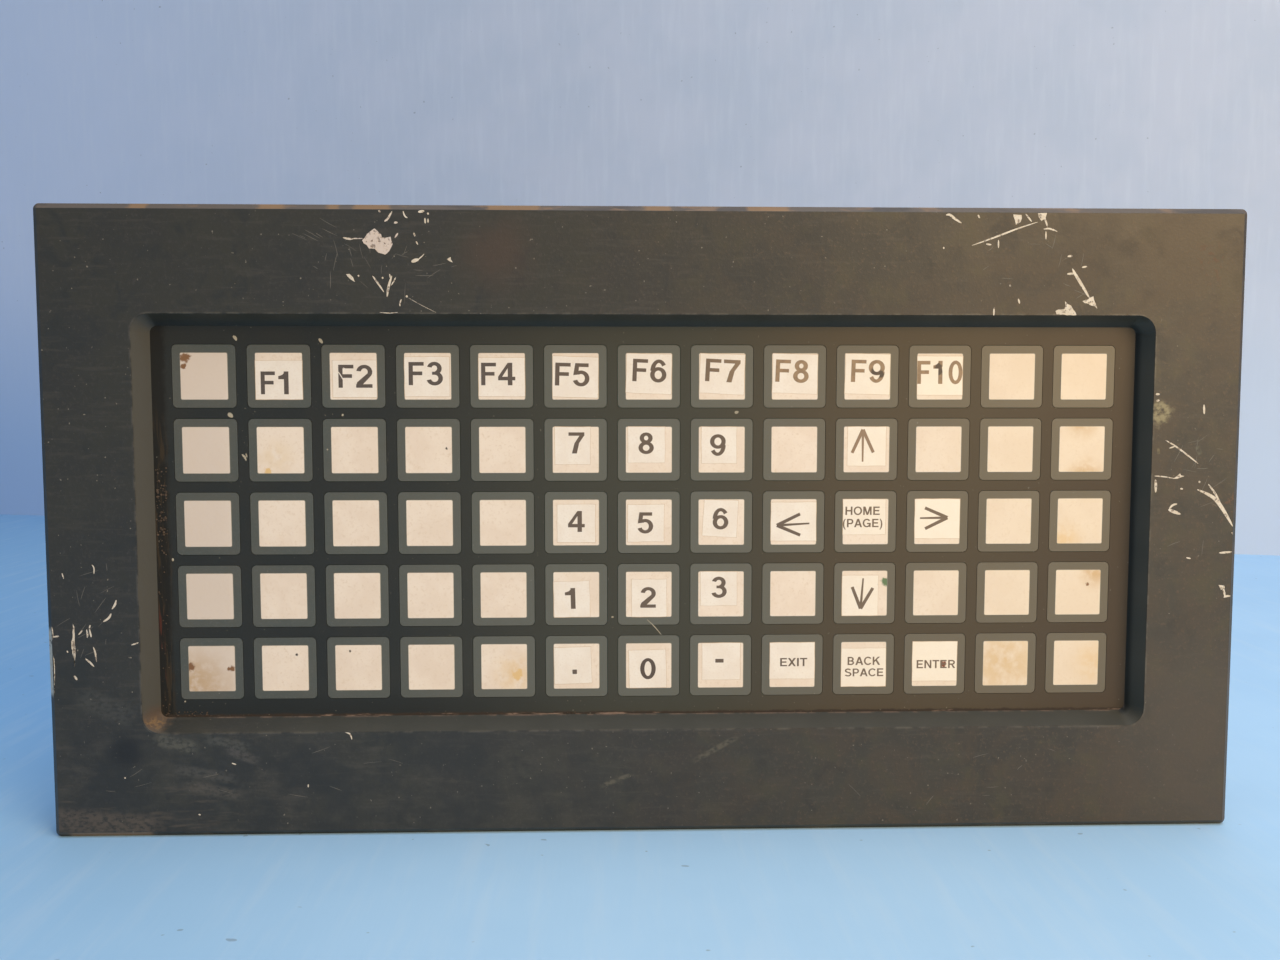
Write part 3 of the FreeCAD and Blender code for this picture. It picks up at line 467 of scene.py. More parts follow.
SPOTS = [
    (1, 1, -4.9, 4.7, 1.5, BROWN),
    (1, 1, -4.0, 5.0, 1.0, BROWN),
    (1, 1, -5.2, 2.6, 0.9, BROWN),
    (1, 5, -5.5, 0.5, 1.3, BROWN),
    (1, 5, 5.3, -0.1, 1.0, BROWN),
    (1, 5, 4.4, -0.1, 0.6, BROWN),
    (2, 5, 3.0, 3.6, 0.45, DARK),
    (3, 5, -2.2, 4.4, 0.4, DARK),
    (4, 2, 4.6, 0.4, 0.4, DARK),
    (2, 2, -3.2, -5.6, 1.3, OCHRE),
    (5, 5, 3.6, -2.0, 1.8, OCHRE),
    (13, 4, 2.6, 2.2, 0.6, BROWN),
    (10, 4, 5.6, 3.0, 1.5, MOSS),
]


def card_finish():
    """Cream card behind the clear window, with the stains of its age, painted shade at the far left and
    painted warm light towards the right.
    """
    finish = clouded("key_card", ((221, 206, 188), (227, 214, 197), (214, 197, 176)),
                     patch=9.0, grain=0.7, rough=(0.46, 0.40), relief=0.010,
                     Coat_Weight=0.25, Coat_Roughness=0.22)
    # painted shade on the leftmost column and painted warm light towards the right
    finish.layer((finish.ramp("x", -98.0, -112.0), 0.8), (203, 190, 176))
    finish.layer((finish.ramp("x", 40.0, 112.0), 0.5), (216, 199, 169))
    blotch = finish.patches(3.2, 0.28, 0.60, detail=5.0)
    for column, row, x, z, radius, tone, share in STAINS:
        centre = cell(column, row)
        here = finish.near(centre[0] + x, centre[1] + z, radius, ragged=0.2, soft=0.9)
        inside = finish.all_of(here, finish.near(*centre, 1.5 * WINDOW, ragged=0.0, soft=0.4))
        finish.layer((inside, blotch, share), tone)
    for column, row, x, z, radius, tone in SPOTS:
        centre = cell(column, row)
        finish.layer(finish.near(centre[0] + x, centre[1] + z, radius, ragged=0.9), tone, 0.6)
    return finish


def paper_finish():
    """Legend slips, a little lighter and pinker than the cards."""
    finish = clouded("legend_paper", ((225, 216, 203), (230, 223, 211), (218, 207, 192)),
                     patch=6.0, grain=0.5, rough=(0.48, 0.42), relief=0.008,
                     Coat_Weight=0.25, Coat_Roughness=0.22)
    # painted warm light towards the right
    finish.layer((finish.ramp("x", 30.0, 75.0), 0.6), (236, 226, 204))
    x, z = cell(11, 5)
    finish.layer(finish.near(x + 2.4, z - 0.2, 1.0, ragged=0.9), RUST, 0.7)
    x, z = cell(10, 4)
    finish.layer(finish.near(x + 4.9, z + 2.9, 1.4, ragged=0.9), MOSS, 0.7)
    return finish


def ink_finish():
    """Printed legends: dark on the left, paler and browner towards the right, partly bleached and partly
    painted warm sheen, with darker remains.
    """
    finish = Finish("legend_ink", (82, 73, 65), 0.48, Coat_Weight=0.2, Coat_Roughness=0.25)
    finish.layer(finish.patches(0.55, 0.44, 0.70, detail=4.0), (94, 84, 76), 0.5)
    # paler and browner towards the right: partly fading, partly painted warm sheen
    finish.layer((finish.ramp("x", -48.0, -10.0), 0.8), (98, 83, 68))
    finish.layer((finish.ramp("x", 40.0, 58.0), 0.8), (110, 93, 74))
    # top row on the right: bleached ink with painted sheen over it
    bleached_and_sheen = finish.all_of(finish.ramp("z", 29.0, 33.0), finish.ramp("x", 6.0, 36.0))
    finish.layer((bleached_and_sheen, 0.9), (150, 125, 95))
    finish.layer((bleached_and_sheen, finish.patches(1.6, 0.45, 0.60, detail=4.0), 0.5), (120, 100, 78))
    x, z = cell(10, 2)
    finish.layer((finish.near(x, z, 12.0, ragged=0.0), 0.9), (140, 116, 92))
    for column, x, z in ((10, 1.9, 1.2), (10, 3.4, 0.6), (11, -0.5, 2.6), (11, 0.0, 1.4)):
        centre = cell(column, 1)
        finish.layer(finish.near(centre[0] + x, centre[1] + z, 1.3, ragged=0.8), (74, 62, 50))
    x, z = cell(7, 5)
    finish.layer((finish.near(x, z, 8.0, ragged=0.0), 0.8), (76, 63, 52))
    return finish


def chip_finish():
    """Cream moulding bared by chipped paint, with dirt rubbed into its pits; it also colours a painted
    highlight on the mouth edge.
    """
    finish = clouded("chipped_paint_and_highlight", ((196, 186, 168), (208, 200, 184), (176, 160, 138)),
                     patch=2.5, grain=0.5, rough=(0.62, 0.55), relief=0.05)
    x, z = CHIPPED_PATCH
    finish.layer((finish.near(x, z, 9.0, ragged=0.1), 0.7), (196, 182, 174))
    finish.layer((finish.patches(0.9, 0.56, 0.62, detail=4.0), 0.8), (112, 98, 88), rise=-0.08)
    return finish


finishes = {}
for made in (bezel_finish(), overlay_finish(), key_finish(), card_finish(), paper_finish(),
             ink_finish(), chip_finish()):
    finishes[made.name] = made.done()


def plain(name, tones, patch, grain, rough, relief, dusty=True, **more):
    """Adds the finish of one substance, with a little dust on it unless it says not."""
    finish = clouded(name, tones, patch, grain, rough, relief, **more)
    if dusty:
        finish.layer((finish.patches(5.0, 0.56, 0.74, detail=5.0), 0.25), (120, 108, 90), 0.6)
    finishes[name] = finish.done()


# name, tones, size of the clouds and of the grain in mm, roughness, relief in mm
plain("spacer_plastic", ((219, 215, 206), (210, 205, 194), (226, 222, 214)), 12, 0.6, (0.5, 0.45), 0.01)
plain("spring_steel", ((176, 176, 174), (160, 160, 160), (196, 196, 192)), 6, 0.2, (0.26, 0.34), 0.004,
      stretch=(8, 1, 1), Metallic=1.0)
plain("board_laminate", ((26, 92, 52), (30, 102, 60), (20, 78, 44)), 9, 0.5, (0.32, 0.4), 0.01,
      Coat_Weight=0.4, Coat_Roughness=0.2)
plain("insulating_sheet", ((160, 148, 118), (150, 138, 108), (172, 160, 130)), 15, 0.4, (0.55, 0.6),
      0.015)
plain("backplate_aluminium", ((186, 188, 190), (172, 174, 177), (202, 203, 204)), 22, 0.35,
      (0.34, 0.42), 0.006, stretch=(1, 1, 18), Metallic=1.0)
plain("screw_steel", ((178, 178, 172), (160, 158, 150), (198, 198, 192)), 2.5, 0.25, (0.3, 0.4), 0.006,
      Metallic=1.0)
plain("gasket_rubber", ((44, 44, 43), (52, 51, 49), (36, 36, 35)), 10, 0.35, (0.85, 0.9), 0.04)
plain("stud_steel", ((188, 186, 176), (168, 164, 152), (204, 202, 194)), 3, 0.3, (0.3, 0.42), 0.006,
      Metallic=1.0)
plain("standoff_brass", ((196, 160, 92), (180, 144, 80), (212, 178, 112)), 3, 0.2, (0.28, 0.36), 0.004,
      stretch=(1, 6, 1), Metallic=1.0)
plain("chip_package", ((38, 38, 38), (46, 45, 44), (30, 30, 30)), 5, 0.3, (0.55, 0.62), 0.015)
plain("can_metal", ((200, 200, 198), (188, 188, 186), (214, 214, 212)), 3, 0.2, (0.25, 0.33), 0.004,
      Metallic=1.0)
plain("capacitor_sleeve", ((36, 46, 84), (42, 52, 92), (28, 38, 72)), 4, 0.3, (0.28, 0.36), 0.006,
      Coat_Weight=0.3, Coat_Roughness=0.15)
plain("header_plastic", ((34, 34, 34), (42, 41, 40), (26, 26, 26)), 4, 0.3, (0.45, 0.52), 0.01)
plain("cover_paint", ((142, 145, 142), (134, 137, 134), (156, 158, 154)), 30, 0.7, (0.5, 0.56), 0.05)

# contacts, marks and edges that carry no dust of their own
plain("connector_shell", ((186, 182, 170), (196, 192, 182), (160, 156, 146)), 5.0, 0.3,
      (0.3, 0.38), 0.006, dusty=False, Metallic=1.0)
plain("contact_gold", ((222, 178, 98), (206, 160, 84), (236, 196, 122)), 1.5, 0.2, (0.22, 0.3), 0.003,
      dusty=False, Metallic=1.0)
plain("scuffed_paint", ((84, 83, 77), (98, 95, 87), (72, 72, 68)), 3.0, 0.4, (0.55, 0.62), 0.03,
      dusty=False)
plain("film_lint", ((150, 144, 126), (170, 162, 142), (116, 108, 92)), 0.8, 0.3, (0.85, 0.9), 0.04,
      dusty=False)
# painted shadow line around each window, on the rim of its card
plain("window_rim_shadow", ((120, 118, 104), (108, 108, 98), (134, 130, 116)), 5.0, 0.4, (0.4, 0.46), 0.005,
      dusty=False)
# dirty cut edge of the slips together with a painted shadow line
plain("slip_edge_dirt_and_shadow", ((196, 172, 142), (184, 160, 130), (206, 186, 158)), 2.0, 0.3, (0.6, 0.66), 0.005,
      dusty=False)
plain("recess_grit", ((78, 64, 52), (56, 47, 38), (116, 100, 82)), 1.4, 0.3, (0.85, 0.9), 0.03,
      dusty=False)

for name, node in nodes.items():
    for holder in node.material_slots:
        holder.material = finishes[material_slot_of[name]]


# ------------------------------------------------------------------ flat outlines and pieces


def piece(name, mesh, looks, body):
    """Makes the bmesh, which is in metres, a piece with these finishes that rides on a body."""
    bmesh.ops.recalc_face_normals(mesh, faces=mesh.faces)
    data = bpy.data.meshes.new(name)
    mesh.to_mesh(data)
    mesh.free()
    for look in looks:
        data.materials.append(finishes[look])
    made = bpy.data.objects.new(name, data)
    bpy.context.scene.collection.objects.link(made)
    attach(made, body)
    return made


def add_ring(mesh, outline, y):
    """The corners of an outline of (x, z) points at one depth, all in mm."""
    return [mesh.verts.new((x * MM, y * MM, z * MM)) for x, z in outline]


def bridge(mesh, near, far):
    """Faces between two rings with as many corners."""
    corners = zip(near, far, far[1:] + far[:1], near[1:] + near[:1])
    return [mesh.faces.new(four) for four in corners]


def add_plate(mesh, outline, front, back, material=0):
    """A flat solid with an outline of (x, z) points, between two depths, all in mm."""
    sides = zip(outline, outline[1:] + outline[:1])
    if sum(x0 * z1 - x1 * z0 for (x0, z0), (x1, z1) in sides) < 0:
        outline = outline[::-1]
    near, far = add_ring(mesh, outline, front), add_ring(mesh, outline, back)
    for face in [mesh.faces.new(near), mesh.faces.new(far[::-1]), *bridge(mesh, near, far)]:
        face.material_index = material


CORNER_STEPS = 4


def rounded(width, height, radius, centre=(0.0, 0.0)):
    """Outline of a rounded rectangle."""
    outline = []
    for index, (across, up) in enumerate(((1, 1), (-1, 1), (-1, -1), (1, -1))):
        for part in range(CORNER_STEPS + 1):
            angle = math.radians(90 * (index + part / CORNER_STEPS))
            outline.append((centre[0] + across * (width / 2 - radius) + radius * math.cos(angle),
                            centre[1] + up * (height / 2 - radius) + radius * math.sin(angle)))
    return outline


def ribbon(points, widths):
    """Outline of a stroke along points, with a width at each."""
    left, right = [], []
    for index, (x, z) in enumerate(points):
        before = points[max(index - 1, 0)]
        after = points[min(index + 1, len(points) - 1)]
        along = Vector((after[0] - before[0], after[1] - before[1])).normalized()
        half = widths[index] / 2
        left.append((x - along.y * half, z + along.x * half))
        right.append((x + along.y * half, z - along.x * half))
    return left + right[::-1]


def smooth(points):
    """The same path with its corners cut twice and its ends kept."""
    for _ in range(2):
        cut = [points[0]]
        for (x0, z0), (x1, z1) in zip(points, points[1:]):
            cut.append((0.75 * x0 + 0.25 * x1, 0.75 * z0 + 0.25 * z1))
            cut.append((0.25 * x0 + 0.75 * x1, 0.25 * z0 + 0.75 * z1))
        points = cut + [points[-1]]
    return points


def tapered(points, width):
    """A smooth stroke that is widest in the middle and nearly pointed at its ends."""
    path = smooth(points)
    last = len(path) - 1
    widths = [width * (0.15 + 0.95 * math.sin(math.pi * index / last)) for index in range(last + 1)]
    return ribbon(path, widths)


def ragged(outline, step, jitter, draw):
    """The outline with points added about every step mm, and each moved a little."""
    points = []
    for (x0, z0), (x1, z1) in zip(outline, outline[1:] + outline[:1]):
        parts = max(1, round(math.hypot(x1 - x0, z1 - z0) / step))
        for part in range(parts):
            share = part / parts
            points.append((x0 + (x1 - x0) * share + draw.uniform(-jitter, jitter),
                           z0 + (z1 - z0) * share + draw.uniform(-jitter, jitter)))
    return points


def moved(points, centre):
    """Points around the origin, moved to a centre."""
    return [(centre[0] + x, centre[1] + z) for x, z in points]


def turned(points, degrees, centre):
    """Points turned about the origin and then moved to a centre."""
    cos, sin = math.cos(math.radians(degrees)), math.sin(math.radians(degrees))
    return [(centre[0] + x * cos - z * sin, centre[1] + x * sin + z * cos) for x, z in points]


# ------------------------------------------------------------------ characters, cap height 1

STEM = 0.185                            # width of an upright stroke
BAR = 0.155                             # height of a level stroke
DIGIT_WIDTH = 1.12                      # the digits are this much wider than the letters


def bar(x0, z0, x1, z1):
    """A straight stroke along an axis."""
    return [(x0, z0), (x1, z0), (x1, z1), (x0, z1)]


def bow(x, z, radius_x, radius_z, start, end):
    """A curved stroke, part of an oval."""
    steps = max(4, round(abs(end - start) / 12))
    angles = [math.radians(start + (end - start) * part / steps) for part in range(steps + 1)]
    outer = [(x + radius_x * math.cos(a), z + radius_z * math.sin(a)) for a in angles]
    inner = [(x + (radius_x - STEM) * math.cos(a), z + (radius_z - BAR) * math.sin(a)) for a in angles]
    return outer + inner[::-1]


def ring(x, z, radius_x, radius_z):
    """An oval, as two strokes."""
    return [bow(x, z, radius_x, radius_z, 0, 180), bow(x, z, radius_x, radius_z, 180, 360)]


STEM_LEFT = bar(0.10, 0, 0.295, 1)
PAREN = [(0.36, 1.0), (0.20, 0.72), (0.15, 0.36), (0.20, 0.0), (0.36, -0.28)]
PAREN_WIDTHS = (0.10, 0.15, 0.17, 0.15, 0.10)
GLYPHS = {
    # character: (advance, strokes)
    "0": (0.77, ring(0.386, 0.5, 0.335, 0.515)),
    "1": (0.77, [bar(0.33, 0, 0.53, 1),
                 [(0.09, 0.66), (0.33, 0.66), (0.33, 0.93), (0.27, 0.86), (0.18, 0.82), (0.09, 0.80)]]),
    "2": (0.77, [bow(0.385, 0.69, 0.325, 0.31, -35, 172), bar(0.05, 0, 0.71, BAR),
                 [(0.04, 0.03), (0.33, 0.16), (0.651, 0.512), (0.491, 0.604), (0.09, 0.24),
                  (0.04, 0.08)]]),
    "3": (0.77, [bow(0.375, 0.725, 0.30, 0.285, -80, 165), bow(0.385, 0.295, 0.335, 0.31, -165, 80),
                 bar(0.28, 0.45, 0.42, 0.58)]),
    "4": (0.77, [bar(0.43, 0, 0.62, 1), bar(0.03, 0.22, 0.74, 0.38),
                 [(0.03, 0.38), (0.20, 0.38), (0.43, 0.76), (0.43, 1)]]),
    "5": (0.77, [bar(0.13, 0.84, 0.67, 1), [(0.13, 1), (0.30, 1), (0.25, 0.50), (0.06, 0.47)],
                 bow(0.375, 0.335, 0.34, 0.35, -162, 128)]),
    "6": (0.77, ring(0.39, 0.33, 0.335, 0.345) + [bow(0.40, 0.50, 0.345, 0.515, 35, 180)]),
    "7": (0.77, [bar(0.05, 0.84, 0.72, 1),
                 [(0.52, 0.86), (0.72, 0.86), (0.50, 0.50), (0.40, 0), (0.19, 0), (0.30, 0.48)]]),
    "8": (0.77, ring(0.386, 0.745, 0.275, 0.265) + ring(0.386, 0.285, 0.325, 0.30)),
    "9": (0.77, ring(0.385, 0.67, 0.335, 0.345) + [bow(0.375, 0.50, 0.345, 0.515, -145, 0)]),
    ".": (0.39, [bar(0.09, 0, 0.30, 0.21)]),
    "-": (0.46, [bar(0.05, 0.30, 0.42, 0.48)]),
    "(": (0.46, [ribbon(PAREN, PAREN_WIDTHS)]),
    ")": (0.46, [ribbon([(0.46 - x, z) for x, z in PAREN], PAREN_WIDTHS)]),
    "A": (1.0, [[(0.03, 0), (0.24, 0), (0.60, 1), (0.39, 1)],
                [(0.97, 0), (0.76, 0), (0.40, 1), (0.61, 1)], bar(0.25, 0.22, 0.75, 0.38)]),
    "B": (1.0, [STEM_LEFT, bar(0.10, 0.84, 0.50, 1), bar(0.10, 0.43, 0.50, 0.57),
                bar(0.10, 0, 0.50, BAR), bow(0.50, 0.715, 0.33, 0.285, -90, 90),
                bow(0.50, 0.285, 0.38, 0.285, -90, 90)]),
    "C": (1.0, [bow(0.54, 0.5, 0.49, 0.515, 38, 322)]),
    "E": (0.93, [STEM_LEFT, bar(0.10, 0.84, 0.84, 1), bar(0.10, 0.43, 0.79, 0.59),
                 bar(0.10, 0, 0.86, BAR)]),
    "F": (0.85, [STEM_LEFT, bar(0.10, 0.84, 0.79, 1), bar(0.10, 0.43, 0.72, 0.59)]),
    "G": (1.08, [bow(0.54, 0.5, 0.49, 0.515, 38, 335), bar(0.56, 0.36, 1.0, 0.51),
                 bar(0.84, 0.02, 1.0, 0.51)]),
    "H": (1.0, [bar(0.09, 0, 0.285, 1), bar(0.715, 0, 0.91, 1), bar(0.09, 0.42, 0.91, 0.59)]),
    "I": (0.39, [bar(0.095, 0, 0.29, 1)]),
    "K": (1.0, [STEM_LEFT, [(0.295, 0.33), (0.295, 0.56), (0.72, 1), (0.97, 1)],
                [(0.44, 0.52), (0.60, 0.66), (0.99, 0), (0.75, 0)]]),
    "M": (1.16, [bar(0.09, 0, 0.27, 1), bar(0.885, 0, 1.065, 1),
                 [(0.09, 1), (0.345, 1), (0.665, 0), (0.49, 0)],
                 [(1.065, 1), (0.81, 1), (0.49, 0), (0.665, 0)]]),
    "N": (1.0, [bar(0.09, 0, 0.275, 1), bar(0.72, 0, 0.905, 1),
                [(0.09, 1), (0.28, 1), (0.905, 0), (0.715, 0)]]),
    "O": (1.08, ring(0.54, 0.5, 0.49, 0.515)),
    "P": (0.93, [STEM_LEFT, bar(0.10, 0.84, 0.52, 1), bar(0.10, 0.36, 0.52, 0.52),
                 bow(0.52, 0.68, 0.34, 0.32, -90, 90)]),
    "R": (1.0, [STEM_LEFT, bar(0.10, 0.84, 0.54, 1), bar(0.10, 0.40, 0.54, 0.56),
                bow(0.54, 0.70, 0.36, 0.30, -90, 90),
                [(0.46, 0.42), (0.66, 0.42), (0.95, 0), (0.70, 0)]]),
    "S": (0.93, [bow(0.46, 0.735, 0.375, 0.28, 20, 270), bow(0.47, 0.275, 0.41, 0.29, -160, 90)]),
    "T": (0.85, [bar(0.33, 0, 0.52, 1), bar(0.03, 0.84, 0.82, 1)]),
    "X": (0.93, [[(0.02, 0), (0.25, 0), (0.90, 1), (0.67, 1)],
                 [(0.90, 0), (0.67, 0), (0.02, 1), (0.25, 1)]]),
}


def lettering(text, cap, centre, width=None, lean=0.0):
    """Strokes of a line of characters around a point of the window, width being from ink to ink."""
    strokes, pen = [], 0.0
    for character in text:
        advance, shapes = GLYPHS[character]
        wide = DIGIT_WIDTH if character.isdigit() else 1.0
        strokes += [[(pen + wide * x, z) for x, z in shape] for shape in shapes]
        pen += wide * advance
    left = min(x for stroke in strokes for x, _ in stroke)
    right = max(x for stroke in strokes for x, _ in stroke)
    scale = cap if width is None else width / (right - left)
    middle = (left + right) / 2
    return [turned([((x - middle) * scale, (z - 0.5) * cap) for x, z in stroke], lean, centre)
            for stroke in strokes]


def arrow(tip, heads, tail):
    """Strokes of an open arrow: two head strokes and a thinner shaft."""
    return [ribbon([tip, heads[0]], (0.90, 0.80)), ribbon([tip, heads[1]], (0.90, 0.80)),
            ribbon([tip, tail], (0.70, 0.42))]


# ------------------------------------------------------------------ cards and legends

CARD_LOOKS = ("key_card", "window_rim_shadow")
RIM = 0.14                              # width of the slope around a card
CARD_CORNER, FRONT_CORNER = 0.45, 0.35


def add_card(mesh, centre):
    """Card of one window: a flat front inside a narrow sloping rim that carries a painted shadow line."""
    whole = rounded(WINDOW, WINDOW, CARD_CORNER, centre)
    flat = rounded(WINDOW - 2 * RIM, WINDOW - 2 * RIM, FRONT_CORNER, centre)
    front = add_ring(mesh, flat, CARD_FRONT)
    foot = add_ring(mesh, whole, FILM - 0.004)
    back = add_ring(mesh, whole, FILM + FILM_DEPTH)
    mesh.faces.new(front)
    mesh.faces.new(back[::-1])
    for face in bridge(mesh, front, foot) + bridge(mesh, foot, back):
        face.material_index = 1


key_cells = {}
for name in nodes:
    if name.startswith("key_") and material_slot_of[name] == "key_film":
        low, high = millimetres(name)
        key_cells[name] = ((low.x + high.x) / 2, (low.z + high.z) / 2)

for name, centre in key_cells.items():
    card = bmesh.new()
    add_card(card, centre)
    piece("card_" + name.removeprefix("key_"), card, CARD_LOOKS, name)

taken = {(round(x / PITCH), round(z / PITCH)) for x, z in key_cells.values()}
spare_cards = bmesh.new()
for column in COLUMNS:
    for row in ROWS:
        if (column - MIDDLE_COLUMN, MIDDLE_ROW - row) not in taken:
            add_card(spare_cards, cell(column, row))
piece("spare_key_cards", spare_cards, CARD_LOOKS, "housing")

SLIP_EDGE = 5.95                        # a slip that runs under the printed border ends here
EDGE_GROWTH = 1.018                     # the cut edge, dirty and with a painted shadow line, is this much larger than its slip
EDGE_BEHIND = 0.006
SLIP_LOOKS = ("legend_paper", "legend_ink", "slip_edge_dirt_and_shadow")
PAPER, INK, CUT_EDGE = range(3)


def make_legend(key, strokes, left=-SLIP_EDGE, right=SLIP_EDGE, bottom=-SLIP_EDGE, top=SLIP_EDGE,
                lean=0.0, marks=()):
    """A hand-cut slip with its print, in the window of a key."""
    draw = random.Random(key)
    centre = key_cells[key]
    corners = turned([(left, bottom), (right, bottom), (right, top), (left, top)], lean, (0.0, 0.0))
    held = [tuple(max(-SLIP_EDGE, min(SLIP_EDGE, value)) for value in corner) for corner in corners]
    legend = bmesh.new()
    slip = ragged(held, 2.5, 0.05, draw)
    add_plate(legend, moved(slip, centre), PAPER_FRONT, SLIP_BACK, PAPER)
    edge = [(EDGE_GROWTH * x, EDGE_GROWTH * z) for x, z in slip]
    add_plate(legend, moved(edge, centre), PAPER_FRONT + EDGE_BEHIND, SLIP_BACK - 0.001, CUT_EDGE)
    for index, stroke in enumerate(strokes):
        add_plate(legend, moved(stroke, centre), INK_FRONT - STAGGER * (index % 4), INK_BACK, INK)
    for index, mark in enumerate(marks):
        add_plate(legend, moved(mark, centre), MARK_FRONT - STAGGER * index, INK_BACK, PAPER)
    piece("legend_" + key.removeprefix("key_"), legend, SLIP_LOOKS, key)


F2_SCRATCHES = (
    tapered([(-4.2, 1.6), (-3.2, 0.2), (-2.4, -1.4)], 0.22),
    tapered([(-2.6, 2.2), (-1.6, 1.6)], 0.2),
)
F10_SCRATCHES = (tapered([(0.6, 2.6), (1.0, 0.6), (0.8, -1.4)], 0.4),)
make_legend("key_f1", lettering("F1", 5.85, (-1.1, -1.7), 7.1), top=4.0)
make_legend("key_f2", lettering("F2", 5.9, (0.5, 0.0), 8.7), left=-5.3, bottom=-5.4, top=4.1,
            marks=F2_SCRATCHES)
make_legend("key_f3", lettering("F3", 5.95, (-0.5, 0.7), 8.8), right=5.6, bottom=-5.2, top=5.0)
make_legend("key_f4", lettering("F4", 5.8, (-0.9, 0.6), 8.8), bottom=-5.2, top=4.8)
make_legend("key_f5", lettering("F5", 5.9, (-0.8, 0.5), 8.9, -1.5), bottom=-5.4, top=5.1, lean=-1.5)
make_legend("key_f6", lettering("F6", 5.8, (0.2, 1.5), 8.8, -2.4), bottom=-4.4, lean=-2.4)
make_legend("key_f7", lettering("F7", 5.85, (0.2, 1.5), 9.0, -3.0), bottom=-4.5, lean=-3.0)
make_legend("key_f8", lettering("F8", 5.8, (-0.7, 1.4), 8.7, -2.0), bottom=-4.4, lean=-2.0)
make_legend("key_f9", lettering("F9", 5.8, (0.1, 1.4), 8.8, -1.5), bottom=-4.6, lean=-1.5)
make_legend("key_f10", lettering("F10", 6.0, (0.0, 1.1), 11.9), bottom=-4.8, top=5.3,
            marks=F10_SCRATCHES)

DIGIT = 5.5                             # cap height of the digits
make_legend("key_7", lettering("7", DIGIT, (0.2, 1.8)), left=-5.4, right=3.8, bottom=-3.8)
make_legend("key_8", lettering("8", DIGIT, (-0.7, 1.7)), left=-5.4, right=4.2, bottom=-3.4)
make_legend("key_9", lettering("9", DIGIT, (-1.0, 1.2)), left=-5.3, right=3.9, bottom=-3.6)
make_legend("key_4", lettering("4", DIGIT, (0.1, 0.3)), left=-4.9, right=5.0, bottom=-5.2, top=4.8)
make_legend("key_5", lettering("5", DIGIT, (-0.9, -0.1)), left=-5.5, right=4.0, bottom=-5.1, top=4.7)
make_legend("key_6", lettering("6", DIGIT, (-0.2, 0.9)), left=-4.8, right=4.2, bottom=-3.8, lean=-3.0)
make_legend("key_1", lettering("1", DIGIT, (-1.6, -1.0), lean=1.5), right=3.5, top=3.6, lean=1.5)
make_legend("key_2", lettering("2", DIGIT, (-0.2, -0.8)), left=-4.5, right=4.7, top=4.0)
make_legend("key_3", lettering("3", DIGIT, (-0.5, 1.8)), left=-5.4, right=4.2, bottom=-3.1)
make_legend("key_period", [turned(rounded(1.2, 1.2, 0.15), 2, (-0.5, -1.5))], right=3.9, bottom=-4.6,
            top=5.1, lean=2.0)
make_legend("key_0", lettering("0", DIGIT, (-0.2, -0.8)), left=-5.2, right=4.6, top=4.2, lean=1.5)
make_legend("key_minus", [rounded(2.2, 1.0, 0.1, (-0.3, 1.2))], left=-4.9, right=5.2, bottom=-3.9)

make_legend("key_left", arrow((-4.4, -0.9), ((1.7, 2.1), (1.8, -3.5)), (4.2, -0.4)), bottom=-5.0,
            top=5.2)
make_legend("key_right", arrow((2.7, 1.0), ((-3.3, 3.6), (-3.2, -1.9)), (-4.6, 0.9)), bottom=-4.5)
make_legend("key_up", arrow((-1.0, 5.2), ((-3.8, -0.9), (1.8, -0.8)), (-1.0, -3.2)), left=-5.0,
            right=5.1, bottom=-4.3)
make_legend("key_down", arrow((-1.0, -4.1), ((-3.3, 1.7), (2.2, 1.4)), (-0.4, 4.0)), right=3.6, top=4.8)

WORD = 2.2                              # cap height of the words
make_legend("key_home",
            lettering("HOME", WORD, (-0.8, 2.9), 9.1) + lettering("(PAGE)", WORD, (-0.75, -0.35), 10.5),
            right=5.3, bottom=-3.4)
make_legend("key_exit", lettering("EXIT", WORD, (0.4, 0.7), 7.2), bottom=-3.8)
make_legend("key_backspace",
            lettering("BACK", WORD, (0.1, 0.9), 8.7) + lettering("SPACE", 2.1, (0.2, -2.2), 10.3),
            top=4.3)
make_legend("key_enter", lettering("ENTER", WORD, (0.4, -0.1), 10.4), bottom=-4.6)


# ------------------------------------------------------------------ chips and scratches in the paint, and a painted highlight on the mouth edge

